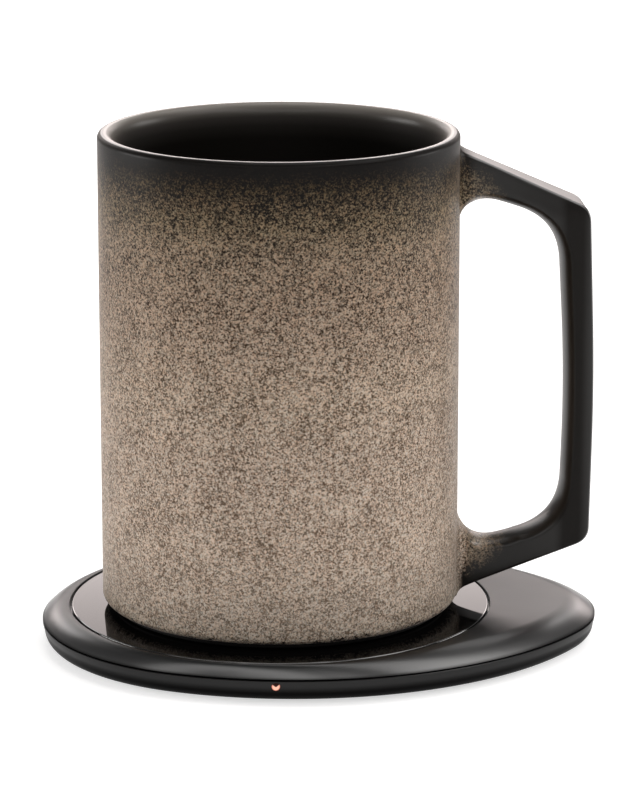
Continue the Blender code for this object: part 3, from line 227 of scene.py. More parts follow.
def show(name, mesh):
    """Put a mesh into the scene."""
    item = bpy.data.objects.new(name, mesh)
    bpy.context.scene.collection.objects.link(item)
    return item


def loft(name, rings, closed=False):
    """Join rings of equal count in order; an open loft gets a cap at each end."""
    form = bmesh.new()
    rows = [[form.verts.new(point) for point in ring] for ring in rings]
    count = len(rows[0])
    pairs = list(zip(rows, rows[1:]))
    if closed:
        pairs.append((rows[-1], rows[0]))
    for low, high in pairs:
        for i in range(count):
            j = (i + 1) % count
            form.faces.new((low[i], low[j], high[j], high[i]))
    if not closed:
        form.faces.new(reversed(rows[0]))
        form.faces.new(rows[-1])
    return new_mesh(name, form)


def turned(name, profile, segments):
    """Turn a profile about +Z; points on the axis become one point each."""
    form = bmesh.new()
    rows = []
    for radius, height in profile:
        if radius == 0:
            rows.append([form.verts.new((0, 0, height))])
            continue
        ring = []
        for i in range(segments):
            t = 2 * pi * i / segments
            ring.append(form.verts.new((radius * cos(t), radius * sin(t), height)))
        rows.append(ring)
    pairs = list(zip(rows, rows[1:]))
    if len(rows[0]) > 1:
        pairs.append((rows[-1], rows[0]))
    for one, two in pairs:
        for i in range(segments):
            j = (i + 1) % segments
            if len(one) == 1:
                form.faces.new((one[0], two[i], two[j]))
            elif len(two) == 1:
                form.faces.new((one[i], one[j], two[0]))
            else:
                form.faces.new((one[i], one[j], two[j], two[i]))
    return new_mesh(name, form)


def arc(centre_x, centre_z, reach_x, reach_z, start, end, steps):
    """Points of an elliptical arc, both of its ends included."""
    turns = [radians(start + (end - start) * i / steps) for i in range(steps + 1)]
    return [(centre_x + reach_x * cos(t), centre_z + reach_z * sin(t)) for t in turns]


def run(start, end, pitch):
    """Points between two places, both ends left out."""
    count = max(1, round(hypot(end[0] - start[0], end[1] - start[1]) / pitch))
    return [(start[0] + (end[0] - start[0]) * i / count,
             start[1] + (end[1] - start[1]) * i / count) for i in range(1, count)]


def toward_back(x, y, z):
    """Matrix that brings the origin to a place and turns +Z to +Y."""
    return Matrix.Translation((x, y, z)) @ Matrix.Rotation(radians(-90), 4, "X")


def rod(name, radius, length, matrix):
    """Cylinder from the matrix's origin along its +Z."""
    form = bmesh.new()
    shift = Matrix.Translation((0, 0, length / 2))
    bmesh.ops.create_cone(form, cap_ends=True, segments=LIGHT_WINDOW_SEGMENTS,
                          radius1=radius, radius2=radius, depth=length,
                          matrix=matrix @ shift)
    return new_mesh(name, form)


def carve(item, tools, operation="DIFFERENCE"):
    """Apply one Boolean for each tool mesh, and keep the result on the item."""
    for mesh in tools:
        tool = show(mesh.name, mesh)
        change = item.modifiers.new(mesh.name, "BOOLEAN")
        change.operation = operation
        change.solver = "EXACT"
        change.object = tool
        graph = bpy.context.evaluated_depsgraph_get()
        graph.update()
        result = bpy.data.meshes.new_from_object(item.evaluated_get(graph))
        item.modifiers.clear()
        item.data = result
        bpy.data.objects.remove(tool, do_unlink=True)


def egg_outline():
    """Points of the coaster's outline with their outward normals, from the tip round."""
    tip_x = EGG_REACH - EGG_TIP_RADIUS
    main_drop = EGG_SIDE_RADIUS - EGG_MAIN_RADIUS
    tip_drop = EGG_SIDE_RADIUS - EGG_TIP_RADIUS
    side_x = (main_drop ** 2 - tip_drop ** 2 + tip_x ** 2) / (2 * tip_x)
    side_y = -sqrt(main_drop ** 2 - side_x ** 2)
    tip_end = atan2(-side_y, tip_x - side_x)
    main_start = atan2(-side_y, -side_x)
    arcs = ((tip_x, 0, EGG_TIP_RADIUS, 0, tip_end, EGG_STEPS[0]),
            (side_x, side_y, EGG_SIDE_RADIUS, tip_end, main_start, EGG_STEPS[1]),
            (0, 0, EGG_MAIN_RADIUS, main_start, pi, EGG_STEPS[2]))
    half = []
    for x, y, radius, start, end, steps in arcs:
        for i in range(steps):
            t = start + (end - start) * i / steps
            way = Vector((cos(t), sin(t)))
            half.append((Vector((x + EGG_SHIFT, y)) + way * (radius - EGG_TRIM), way))
    back = (Vector((EGG_SHIFT - EGG_MAIN_RADIUS + EGG_TRIM, 0)), Vector((-1, 0)))
    other = [(Vector((p.x, -p.y)), Vector((n.x, -n.y))) for p, n in reversed(half[1:])]
    return half + [back] + other


OUTLINE = egg_outline()


def egg_ring(inset, height):
    """The outline at a height, moved in by one inset or by one for each of its points."""
    insets = inset if isinstance(inset, list) else [inset] * len(OUTLINE)
    return [(*(p - n * d), height) for (p, n), d in zip(OUTLINE, insets)]


def round_ring(radius, height):
    """A circle at a height, with as many points as the outline."""
    return [(*(p.normalized() * radius), height) for p, n in OUTLINE]


def crown_widths():
    """How far the rounded shoulder reaches in at each point of the outline."""
    widths = []
    for point, way in OUTLINE:
        along = point.dot(way)
        room = along - sqrt(along ** 2 - point.length_squared + RECESS_RADIUS ** 2)
        room -= CROWN_LEDGE
        shares = room ** CROWN_BLEND_POWER + CROWN_WIDTH ** CROWN_BLEND_POWER
        widths.append(room * CROWN_WIDTH / shares ** (1 / CROWN_BLEND_POWER))
    return widths


def wall_y(x):
    """Distance of the outline from the long axis at a place along it."""
    near = min(OUTLINE, key=lambda pair: hypot(pair[0].x - x, max(-pair[0].y, 0)))
    return near[0].y


def upper_shell():
    """Crowned shell with a fine edge at the seam and at the plate's groove."""
    edge = EDGE_HEIGHT + FIT_GAP / 2
    tongue_outer = SHELL_WALL + FIT_GAP
    tongue_inner = tongue_outer + TONGUE_THICKNESS
    tongue_end = edge - TONGUE_HEIGHT
    rings = [egg_ring(tongue_inner, WEB_UNDERSIDE), egg_ring(tongue_inner, tongue_end),
             egg_ring(tongue_outer, tongue_end), egg_ring(tongue_outer, edge),
             egg_ring(SEAM_EDGE, edge), egg_ring(0, edge + SEAM_EDGE)]
    widths = crown_widths()
    fall = COASTER_TOP - edge - SEAM_EDGE
    for i in range(1, CROWN_STEPS + 1):
        share = i / CROWN_STEPS
        height = COASTER_TOP - fall * (1 - share) ** CROWN_POWER
        rings.append(egg_ring([w * share for w in widths], height))
    for grow, height in arc(RECESS_EDGE, COASTER_TOP - RECESS_EDGE, -RECESS_EDGE,
                            RECESS_EDGE, 90, 0, RECESS_EDGE_STEPS):
        rings.append(round_ring(RECESS_RADIUS + grow, height))
    rings.append(round_ring(RECESS_RADIUS, RECESS_FLOOR))
    item = show("coaster_top_shell", loft("coaster_top_shell", rings))
    core = show("core", loft("core", [
        egg_ring(CROWN_CORE_INSET, WEB_UNDERSIDE - OVERRUN),
        egg_ring(CROWN_CORE_INSET, COASTER_TOP - CROWN_WALL)]))
    backing = turned("backing", [(0, COASTER_TOP), (RECESS_RADIUS + CROWN_WALL, COASTER_TOP),
                                 (RECESS_RADIUS + CROWN_WALL, WEB_UNDERSIDE - 2 * OVERRUN),
                                 (0, WEB_UNDERSIDE - 2 * OVERRUN)], MUG_SEGMENTS)
    carve(core, [backing])
    hollow = core.data
    bpy.data.objects.remove(core, do_unlink=True)
    carve(item, [hollow])
    shade(item.data)
    return item


def lower_shell():
    """Tapered side wall and floor, with the light's window and the inlet's opening."""
    edge = EDGE_HEIGHT - FIT_GAP / 2
    foot_x = SIDE_FOOT_INSET - SIDE_TAPER
    corner = SHELL_BASE + SIDE_FOOT_HEIGHT
    rings = [egg_ring(inset, height) for inset, height in reversed(
        arc(SIDE_FOOT_INSET, corner, -foot_x, -SIDE_FOOT_HEIGHT, 0, 90, SIDE_FOOT_STEPS))]
    for i in range(1, SIDE_STEPS + 1):
        share = i / SIDE_STEPS
        rings.append(egg_ring(SIDE_TAPER * (1 - share) ** SIDE_TAPER_POWER,
                              corner + (edge - SEAM_EDGE - corner) * share))
    rings += [egg_ring(SEAM_EDGE, edge), egg_ring(SHELL_WALL, edge)]
    inner_x = INNER_FOOT_INSET - SHELL_WALL - SIDE_TAPER
    rings += [egg_ring(inset, height) for inset, height in arc(
        INNER_FOOT_INSET, FLOOR_TOP + INNER_FOOT_HEIGHT, -inner_x, -INNER_FOOT_HEIGHT,
        0, 90, INNER_FOOT_STEPS)]
    item = show("coaster_base_shell", loft("coaster_base_shell", rings))
    window = rod("window", LIGHT_RADIUS, 2 * OVERRUN + SHELL_WALL,
                 toward_back(LIGHT_X, -wall_y(LIGHT_X) - OVERRUN, LIGHT_Z))
    size = high_of("inlet_shell") - low_of("inlet_shell")
    grown = size.x / 2 + FIT_GAP + PORT_GAP
    opening = slot_bar("opening", 2 * grown, size.z + 2 * PORT_GAP,
                       low_of("inlet_shell").y, wall_y(PORT_X) + OVERRUN)
    carve(item, [window, opening])
    shade(item.data)
    return item


def slot_ring(width, height, y):
    """Outline of a slot-ended bar about the inlet's middle."""
    radius = height / 2
    span = width / 2 - radius
    flat = arc(span, 0, radius, radius, -90, 90, PORT_END_STEPS)
    flat += arc(-span, 0, radius, radius, 90, 270, PORT_END_STEPS)
    return [(PORT_X + x, y, PORT_Z + z) for x, z in flat]


def slot_bar(name, width, height, start, end):
    """Bar with slot-shaped ends, from one place to another along Y."""
    return loft(name, [slot_ring(width, height, start), slot_ring(width, height, end)])


def plate():
    """Glossy disc with a rounded rim."""
    profile = [(0, PLATE_BASE), (PLATE_RADIUS - MAT_EDGE, PLATE_BASE),
               (PLATE_RADIUS, PLATE_BASE + MAT_EDGE)]
    profile += arc(PLATE_RADIUS - PLATE_EDGE, COASTER_TOP - PLATE_EDGE, PLATE_EDGE,
                   PLATE_EDGE, 0, 90, PLATE_EDGE_STEPS)
    profile.append((0, COASTER_TOP))
    item = show("glossy_plate", turned("glossy_plate", profile, MUG_SEGMENTS))
    shade(item.data, angle=40)
    return item


def mat():
    """Silicone mat with its edges broken."""
    rings = [egg_ring(MAT_INSET + MAT_EDGE, 0), egg_ring(MAT_INSET, MAT_EDGE),
             egg_ring(MAT_INSET, MAT_TOP - MAT_EDGE), egg_ring(MAT_INSET + MAT_EDGE, MAT_TOP)]
    item = show("silicone_mat", loft("silicone_mat", rings))
    shade(item.data, angle=60)
    return item


def light_lens():
    """Domed end of the light pipe, just inside its window."""
    low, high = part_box("light_pipe")
    radius = LIGHT_RADIUS - LENS_GAP
    depth = high.y - low.y
    profile = [(0, depth), (radius, depth)]
    profile += arc(0, LENS_DOME, radius, -LENS_DOME, 0, 90, LENS_DOME_STEPS)[:-1]
    profile.append((0, 0))
    mesh = turned("status_lens", profile, LENS_SEGMENTS)
    mesh.transform(toward_back(LIGHT_X, low.y, LIGHT_Z))
    item = show("status_lens", mesh)
    shade(item.data, angle=50)
    return item


def inlet():
    """Steel shell of the inlet, open at the back, with a fine rolled lip."""
    low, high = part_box("inlet_shell")
    width = high.x - low.x
    height = high.z - low.z
    inner_width = width - 2 * INLET_WALL
    inner_height = height - 2 * INLET_WALL
    lip = INLET_LIP
    rings = [slot_ring(width, height, low.y), slot_ring(width, height, high.y - lip),
             slot_ring(width - 2 * lip, height - 2 * lip, high.y),
             slot_ring(inner_width + lip, inner_height + lip, high.y),
             slot_ring(inner_width, inner_height, high.y - lip),
             slot_ring(inner_width, inner_height, low.y)]
    item = show("inlet_sleeve", loft("inlet_sleeve", rings, closed=True))
    shade(item.data, angle=40)
    return item


def bend(before, corner, after, reach, lead, bend_steps, lead_steps):
    """Round a corner with a curve; straight leads on both sides may share its steps."""
    back = (before - corner).normalized()
    ahead = (after - corner).normalized()
    steps = bend_steps if lead else bend_steps + 2 * lead_steps
    start, end = corner + back * reach, corner + ahead * reach
    shares = [i / steps for i in range(steps + 1)]
    curve = [start * (1 - s) ** 2 + corner * 2 * s * (1 - s) + end * s ** 2 for s in shares]
    if not lead:
        return curve
    shares = [i / lead_steps for i in range(lead_steps)]
    lead_in = [start + back * lead * (1 - s) for s in shares]
    lead_out = [end + ahead * lead * (1 - s) for s in reversed(shares)]
    return lead_in + curve + lead_out


def bent_path(corners, reaches, leads):
    """A path through corners, each rounded, with the same point count on every path."""
    pieces = [[corners[0]]]
    for i, (reach, lead, count, more) in enumerate(
            zip(reaches, leads, BEND_STEPS, LEAD_STEPS), start=1):
        pieces.append(bend(corners[i - 1], corners[i], corners[i + 1], reach, lead,
                           count, more))
    pieces.append([corners[-1]])
    path = []
    for piece, following, count in zip(pieces, pieces[1:], RUN_STEPS):
        path += piece
        start, end = piece[-1], following[0]
        path += [start.lerp(end, i / count) for i in range(1, count)]
    return path + pieces[-1]


def soft_widths(path):
    """Half widths along a path, each averaged over its near part."""
    places = [0.0]
    for one, two in zip(path, path[1:]):
        places.append(places[-1] + hypot(two.x - one.x, two.y - one.y))
    widths = []
    for here in places:
        shares = [max(1 - abs(place - here) / WIDTH_BLEND, 0) for place in places]
        gaps = [after - before for before, after in
                zip([places[0]] + places[:-1], places[1:] + [places[-1]])]
        weights = [share * gap for share, gap in zip(shares, gaps)]
        widths.append(sum(w * point.z for w, point in zip(weights, path)) / sum(weights))
    return widths


def handle_section(outer, inner, half_width):
    """D-shaped ring: a flat outer face with small edges and a rounded finger side."""
    start = Vector((outer.x, 0, outer.y))
    across = Vector((inner.x, 0, inner.y)) - start
    depth = across.length
    inward = across.normalized()
    rounding = min(HANDLE_ROUNDING, depth / 2)
    face = half_width - HANDLE_EDGE
    flank = depth - rounding - HANDLE_EDGE
    half = [(face * i / FACE_STEPS, 0) for i in range(1, FACE_STEPS)]
    half += arc(face, HANDLE_EDGE, HANDLE_EDGE, -HANDLE_EDGE, 90, 0, EDGE_STEPS)
    half += [(half_width, HANDLE_EDGE + flank * i / FLANK_STEPS)
             for i in range(1, FLANK_STEPS)]
    half += arc(0, depth - rounding, half_width, rounding, 0, 90, ROUNDING_STEPS)[:-1]
    section = [(0, 0)] + half + [(0, depth)] + [(-w, d) for w, d in reversed(half)]
    return [start + inward * d + Vector((0, w, 0)) for w, d in section]


def handle_corners():
    """Outer corners, with each neck's height on the line from its root to its corner."""
    outer = [list(corner) for corner in HANDLE_OUTER]
    for neck, root, corner in HANDLE_NECKS:
        share = (outer[neck][0] - outer[root][0]) / (outer[corner][0] - outer[root][0])
        outer[neck][1] = outer[root][1] + (outer[corner][1] - outer[root][1]) * share
    return [Vector(corner) for corner in outer]


def swell_roots(mesh):
    """Swell the handle's two ends into the wall, most of all at their sides."""
    reach = ROOT_FILLET
    moves = []
    for vertex in mesh.vertices:
        place = vertex.co
        radial = Vector((place.x, place.y, 0)).normalized()
        away = hypot(place.x, place.y) - MUG_RADIUS
        swell = reach - sqrt(max(reach ** 2 - max(reach - max(away, 0), 0) ** 2, 0))
        way = vertex.normal - radial * vertex.normal.dot(radial)
        if swell > 0 and way.length > ROOT_LEAN:
            way.normalize()
            share = ROOT_FILLET_TOP_SHARE + (1 - ROOT_FILLET_TOP_SHARE) * abs(way.y)
            moves.append((vertex, way * swell * share))
    for vertex, move in moves:
        vertex.co += move


def handle_mesh():
    """Loft of the handle between its outer and inner paths."""
    outer_path = bent_path(handle_corners(), OUTER_BENDS, OUTER_LEADS)
    inner_path = bent_path([Vector((x, z, 0)) for x, z in HANDLE_INNER], INNER_BENDS,
                           INNER_LEADS)
    rings = [handle_section(o, i, width)
             for o, i, width in zip(outer_path, inner_path, soft_widths(outer_path))]
    mesh = loft("handle", rings)
    swell_roots(mesh)
    return mesh


def mug():
    """Ceramic body: turned wall, floor and pocket, with the handle grown on."""
    inner = MUG_RADIUS - MUG_WALL
    lip = MUG_WALL - LIP_ROUNDING - LIP_FLAT
    lip_height = MUG_TOP - LIP_FALL
    floor_edge = inner - FLOOR_FILLET
    profile = [(0, FLOOR_HEIGHT)]
    profile += run((0, FLOOR_HEIGHT), (floor_edge, FLOOR_HEIGHT), 3 * ROW_PITCH)
    profile += arc(floor_edge, FLOOR_HEIGHT + FLOOR_FILLET, FLOOR_FILLET, FLOOR_FILLET,
                   -90, 0, FLOOR_FILLET_STEPS)
    profile += run((inner, FLOOR_HEIGHT + FLOOR_FILLET), (inner, lip_height), 2 * ROW_PITCH)
    profile += arc(inner + lip, lip_height, lip, LIP_FALL, 180, 90, LIP_FALL_STEPS)
    lip_side = MUG_TOP - LIP_ROUNDING
    profile += arc(MUG_RADIUS - LIP_ROUNDING, lip_side, LIP_ROUNDING, LIP_ROUNDING,
                   90, 0, LIP_ROUNDING_STEPS)
    foot_top = (MUG_RADIUS, MUG_FOOT + FOOT_RADIUS)
    profile += run((MUG_RADIUS, lip_side), foot_top, ROW_PITCH)
    profile += arc(MUG_RADIUS - FOOT_RADIUS, MUG_FOOT + FOOT_RADIUS, FOOT_RADIUS,
                   FOOT_RADIUS, 0, -90, FOOT_STEPS)
    profile += [(LEDGE_RADIUS, MUG_FOOT), (LEDGE_RADIUS, LEDGE_HEIGHT),
                (POCKET_RADIUS, LEDGE_HEIGHT), (POCKET_RADIUS, POCKET_TOP), (0, POCKET_TOP)]
    item = show("mug_ceramic", turned("mug_ceramic", profile, MUG_SEGMENTS))
    carve(item, [handle_mesh()], "UNION")
    shade(item.data, angle=38)
    return item


def base():
    """Base cover: the thin black step under the glaze."""
    edge = COVER_EDGE
    flange_top = MUG_FOOT - FIT_GAP
    plug = LEDGE_RADIUS - FIT_GAP
    profile = [(0, MUG_REST), (COVER_RADIUS - edge, MUG_REST)]
    profile += arc(COVER_RADIUS - edge, MUG_REST + edge, edge, edge, -90, 0,
                   COVER_EDGE_STEPS)[1:]
    profile += [(COVER_RADIUS, flange_top - edge / 2), (COVER_RADIUS - edge / 2, flange_top),
                (plug, flange_top), (plug, COVER_TOP - edge), (plug - edge, COVER_TOP),
                (0, COVER_TOP)]
    item = show("mug_base", turned("mug_base", profile, MUG_SEGMENTS))
    shade(item.data, angle=50)
    return item


class Look:
    """A material and short calls for wiring its nodes."""

    def __init__(self, name):
        self.material = bpy.data.materials.new(name)
        self.material.use_nodes = True
        self.tree = self.material.node_tree
        self.shader = self.tree.nodes["Principled BSDF"]

    def add(self, kind, settings=None, **inputs):
        """A new node; its inputs are given by name, or by place as i0, i1 and so on."""
        node = self.tree.nodes.new("ShaderNode" + kind)
        for key, value in (settings or {}).items():
            setattr(node, key, value)
        for key, value in inputs.items():
            self.feed(node, key, value)
        return node

    def feed(self, node, key, value):
        """Link a socket to one input of a node, or set it to a value."""
        names = [socket.name.replace(" ", "_") for socket in node.inputs]
        place = int(key[1:]) if key[1:].isdigit() else names.index(key)
        if isinstance(value, bpy.types.NodeSocket):
            self.tree.links.new(value, node.inputs[place])
        else:
            node.inputs[place].default_value = value

    def surface(self, **inputs):
        """Set inputs of the material's own shader."""
        for key, value in inputs.items():
            self.feed(self.shader, key, value)

    def place(self):
        """Place in the object's own frame, in metres."""
        return self.add("TexCoord").outputs["Object"]

    def split(self, vector):
        return self.add("SeparateXYZ", Vector=vector).outputs

    def math(self, operation, *values):
        """Result of one operation; a value is a socket or a number."""
        inputs = {f"i{i}": value for i, value in enumerate(values)}
        return self.add("Math", {"operation": operation}, **inputs).outputs[0]

    def sum(self, a, b):
        return self.math("ADD", a, b)

    def gap(self, a, b):
        return self.math("SUBTRACT", a, b)

    def product(self, a, b):
        return self.math("MULTIPLY", a, b)

    def most(self, first, *others):
        for other in others:
            first = self.math("MAXIMUM", first, other)
        return first

    def length(self, a, b):
        return self.math("SQRT", self.sum(self.product(a, a), self.product(b, b)))

    def tones(self, value, stops):
        """Colour that follows a value from 0 to 1 through its stops."""
        node = self.add("ValToRGB", Fac=value)
        ramp = node.color_ramp
        for place, colour in stops[1:-1]:
            ramp.elements.new(place).color = colour
        ramp.elements[0].color, ramp.elements[-1].color = stops[0][1], stops[-1][1]
        ramp.elements[0].position, ramp.elements[-1].position = stops[0][0], stops[-1][0]
        return node.outputs["Color"]

    def ramp(self, value, low, high, start=0.0, end=1.0):
        """Smooth change from start to end as a value goes from low to high."""
        node = self.add("MapRange", {"interpolation_type": "SMOOTHSTEP"}, Value=value,
                        From_Min=low, From_Max=high, To_Min=start, To_Max=end)
        return node.outputs["Result"]

    def mix(self, share, a, b, blend="MIX"):
        settings = {"data_type": "RGBA", "blend_type": blend}
        return self.add("Mix", settings, i0=share, i6=a, i7=b).outputs[2]

    def noise(self, place, scale, detail, roughness=0.6):
        """Noise about 0.5, most of it inside NOISE_SPAN."""
        node = self.add("TexNoise", Vector=place, Scale=scale, Detail=detail,
                        Roughness=roughness)
        return node.outputs["Fac"]

    def bump(self, height, distance, strength):
        """Normal bent by a height from 0 to 1."""
        node = self.add("Bump", Strength=strength, Distance=distance, Height=height)
        return node.outputs["Normal"]


def rgb(red, green, blue):
    """A colour given as it looks on screen, in 0 to 255."""
    def linear(value):
        value /= 255
        return value / 12.92 if value <= 0.04045 else ((value + 0.055) / 1.055) ** 2.4
    return linear(red), linear(green), linear(blue), 1.0


NOISE_SPAN = (0.3, 0.7)
# The satin clear coat that the glaze and the housing share
SATIN_COAT = {"Coat_Roughness": 0.3, "Coat_IOR": 1.8}

# Glaze from a low line up to the lip: share of the way, tone between grains, tone of grains
GLAZE_LOW = 8.0 * MM
GLAZE_TONES = (
    (0.03, (80, 69, 58), (168, 156, 142)),
    (0.08, (94, 81, 69), (182, 168, 154)),
    (0.20, (92, 76, 62), (200, 183, 167)),
    (0.38, (82, 65, 51), (195, 178, 162)),
    (0.53, (72, 58, 44), (191, 173, 155)),
    (0.63, (52, 37, 24), (177, 158, 140)),
    (0.73, (32, 19, 8), (166, 146, 127)),
    (0.81, (20, 11, 5), (157, 138, 118)),
    (0.875, (10, 6, 3), (136, 119, 96)),
    (0.91, (7, 5, 3), (118, 101, 80)),
    (0.945, (6, 4, 3), (80, 67, 48)),
    (0.965, (6, 4, 3), (40, 31, 21)),
    (0.98, (7, 5, 4), (14, 11, 8)))
# Painted sheen on the inner glaze under the lip, light near the lip and fading to black deeper
# down: depth as a share of its reach, and its tone there
INNER_SHEEN_REACH = 8.0 * MM
INNER_SHEEN_TONES = (
    (0.0, (122, 117, 111)), (0.07, (102, 98, 93)), (0.16, (80, 76, 72)),
    (0.27, (62, 59, 55)), (0.40, (46, 43, 41)), (0.65, (27, 25, 23)), (1.0, (12, 10, 8)))
BLACK_TONES = (rgb(10, 8, 6), rgb(17, 13, 10))

# Speckle: scale of each pattern, and its share of a grain's level
GRAIN_SCALE, GRAIN_SHARE = 2300, 0.62
COARSE_SCALE, COARSE_SHARE = 900, 0.2
CHIP_SCALE, CHIP_SHARE = 2900, 0.18
CLOUD_SCALE, CLOUD_SHARE = 130, 0.14
BLACK_SCALE = 700
GRAIN_LEVELS = (0.42, 0.72)
GRAIN_TINTS = ((1.07, 0.97, 0.9, 1.0), (0.94, 1.02, 1.06, 1.0))
LIP_THINNING = -0.075
LIP_THINNING_SHARES = (0.80, 0.96)
ARM_GLAZE_SHARE = 0.84
ARM_GLAZE_REACH = (MUG_RADIUS - 0.5 * MM, MUG_RADIUS + 2.5 * MM)

# Ragged borders: scale and reach of the patches and of the fine spray, and how much of
# both moves the glaze's tones
PATCH_SCALE, PATCH_REACH = 420, 7.0 * MM
SPRAY_SCALE, SPRAY_REACH = 1500, 6.0 * MM
TONE_DRIFT = 0.5

# Where the glaze turns black, and where the foot is painted black as shade. Arm lines: height
# at the wall, slope, reach of the dark
ARM_LINES = (
    (MUG_TOP - 4.0 * MM, -0.461, 4.2 * MM),
    (MUG_REST + 2.8 * MM, 0.3955, 7.5 * MM))
ARM_DARK_START = 0.3
OFF_WALL_REACH = (39.2 * MM, 41.2 * MM)
BLACK_REACH = (38.2 * MM, 47.2 * MM)
SPECKLE_LEAN = 0.6
SPECKLE_LEAN_REACH = 10.0 * MM
BLACK_INSIDE_RADIUS = 38.9 * MM
BLACK_INSIDE_BLEND = 0.5 * MM
# Painted shade: heights over which the foot's lowest rounding turns black
FOOT_SHADE_HEIGHTS = (MUG_FOOT - 0.3 * MM, MUG_FOOT + 0.5 * MM)

# Clear coat of the glaze, place by place
WALL_COAT = 0.06
LIP_COAT = 0.8
LIP_COAT_HEIGHTS = (MUG_TOP - 0.12 * MM, MUG_TOP - 0.02 * MM)
INNER_COATS = (0.08, 0.16)
INNER_COAT_HEIGHTS = (MUG_TOP - 5.2 * MM, MUG_TOP - 0.4 * MM)
FACE_COAT = 0.62
EDGE_COAT = 0.95
FINGER_COAT = 0.3
RIM_COAT = 0.34
ARM_COAT = 0.24
FLANK_COAT = 0.08
RIM_DEPTHS = (0.6 * MM, 3.4 * MM)
ARM_DEPTHS = (5.0 * MM, 9.0 * MM)
HANDLE_MIDDLE = (52.0 * MM, 72.0 * MM)
HANDLE_COAT_REACH = (MUG_RADIUS, MUG_RADIUS + 4.0 * MM)
OUTWARD_SLOPES = (-0.1, 0.3)
FLANK_SLOPES = (0.7, 0.97)
EDGE_SLOPES = (0.12, 0.4)


def speckle(look, place, x, share):
    """Tone of the speckled glaze, and the height of its grains."""
    grain = look.noise(place, GRAIN_SCALE, 2.0, 0.7)
    coarse = look.noise(place, COARSE_SCALE, 1.0, 0.5)
    cloud = look.noise(place, CLOUD_SCALE, 3.0)
    cells = look.add("TexVoronoi", Vector=place, Scale=CHIP_SCALE).outputs["Color"]
    cell_values = look.add("SeparateColor", Color=cells).outputs
    relief = look.sum(look.product(grain, GRAIN_SHARE), look.product(coarse, COARSE_SHARE))
    relief = look.math("MULTIPLY_ADD", cell_values["Red"], CHIP_SHARE, relief)
    level = look.sum(relief, look.product(cloud, CLOUD_SHARE))
    level = look.sum(level, look.ramp(share, *LIP_THINNING_SHARES, 0.0, LIP_THINNING))
    share = look.most(share, look.ramp(x, *ARM_GLAZE_REACH, 0.0, ARM_GLAZE_SHARE))
    deep = look.tones(share, [(stop, rgb(*low)) for stop, low, high in GLAZE_TONES])
    pale = look.tones(share, [(stop, rgb(*high)) for stop, low, high in GLAZE_TONES])
    tone = look.mix(look.ramp(level, *GRAIN_LEVELS), deep, pale)
    tint = look.mix(cell_values["Green"], *GRAIN_TINTS)
    return look.mix(1.0, tone, tint, "MULTIPLY"), relief


def blackness(look, x, z, inside, drift):
    """Share of black: black glaze on the handle, along its outer edges and inside, and painted
    shade at the foot.
    """
    off_wall = look.ramp(x, *OFF_WALL_REACH)
    edges = 0.0
    nearest = SPECKLE_LEAN_REACH
    for height, slope, dark_reach in ARM_LINES:
        line = look.math("MULTIPLY_ADD", look.gap(x, MUG_RADIUS), slope, height)
        away = look.math("ABSOLUTE", look.gap(z, line))
        nearest = look.math("MINIMUM", nearest, away)
        near = look.ramp(look.sum(away, drift), dark_reach * ARM_DARK_START, dark_reach,
                         1.0, 0.0)
        edges = look.most(edges, look.product(near, off_wall))
    outward = look.math("MULTIPLY_ADD", nearest, -SPECKLE_LEAN, look.sum(x, drift))
    # Painted shade under the foot: its lowest rounding is painted black
    foot = look.ramp(look.sum(z, drift), *FOOT_SHADE_HEIGHTS, 1.0, 0.0)
    return look.most(look.ramp(outward, *BLACK_REACH), edges, inside, foot)


def handle_coat(look, x, z):
    """Clear coat of the handle: bright outer face and edges, darker flanks and finger side."""
    depth = look.gap(HANDLE_GRIP_REACH, x)
    rim = look.ramp(depth, *RIM_DEPTHS, RIM_COAT, FLANK_COAT)
    arm = look.ramp(depth, *ARM_DEPTHS, 0.0, ARM_COAT)
    normal_x, normal_y, normal_z = look.split(look.add("TexCoord").outputs["Normal"])
    sideways = look.math("ABSOLUTE", normal_y)
    away_z = look.product(normal_z, look.ramp(z, *HANDLE_MIDDLE, -1.0, 1.0))
    outward = look.ramp(look.most(normal_x, away_z), *OUTWARD_SLOPES)
    is_flank = look.ramp(sideways, *FLANK_SLOPES)
    flank = look.product(is_flank, look.most(rim, arm))
    face = look.ramp(sideways, *EDGE_SLOPES, FACE_COAT, EDGE_COAT)
    face = look.math("MULTIPLY_ADD", look.gap(face, FINGER_COAT), outward, FINGER_COAT)
    coat = look.math("MULTIPLY_ADD", look.gap(1.0, is_flank), face, flank)
    return look.product(coat, look.ramp(x, *HANDLE_COAT_REACH))


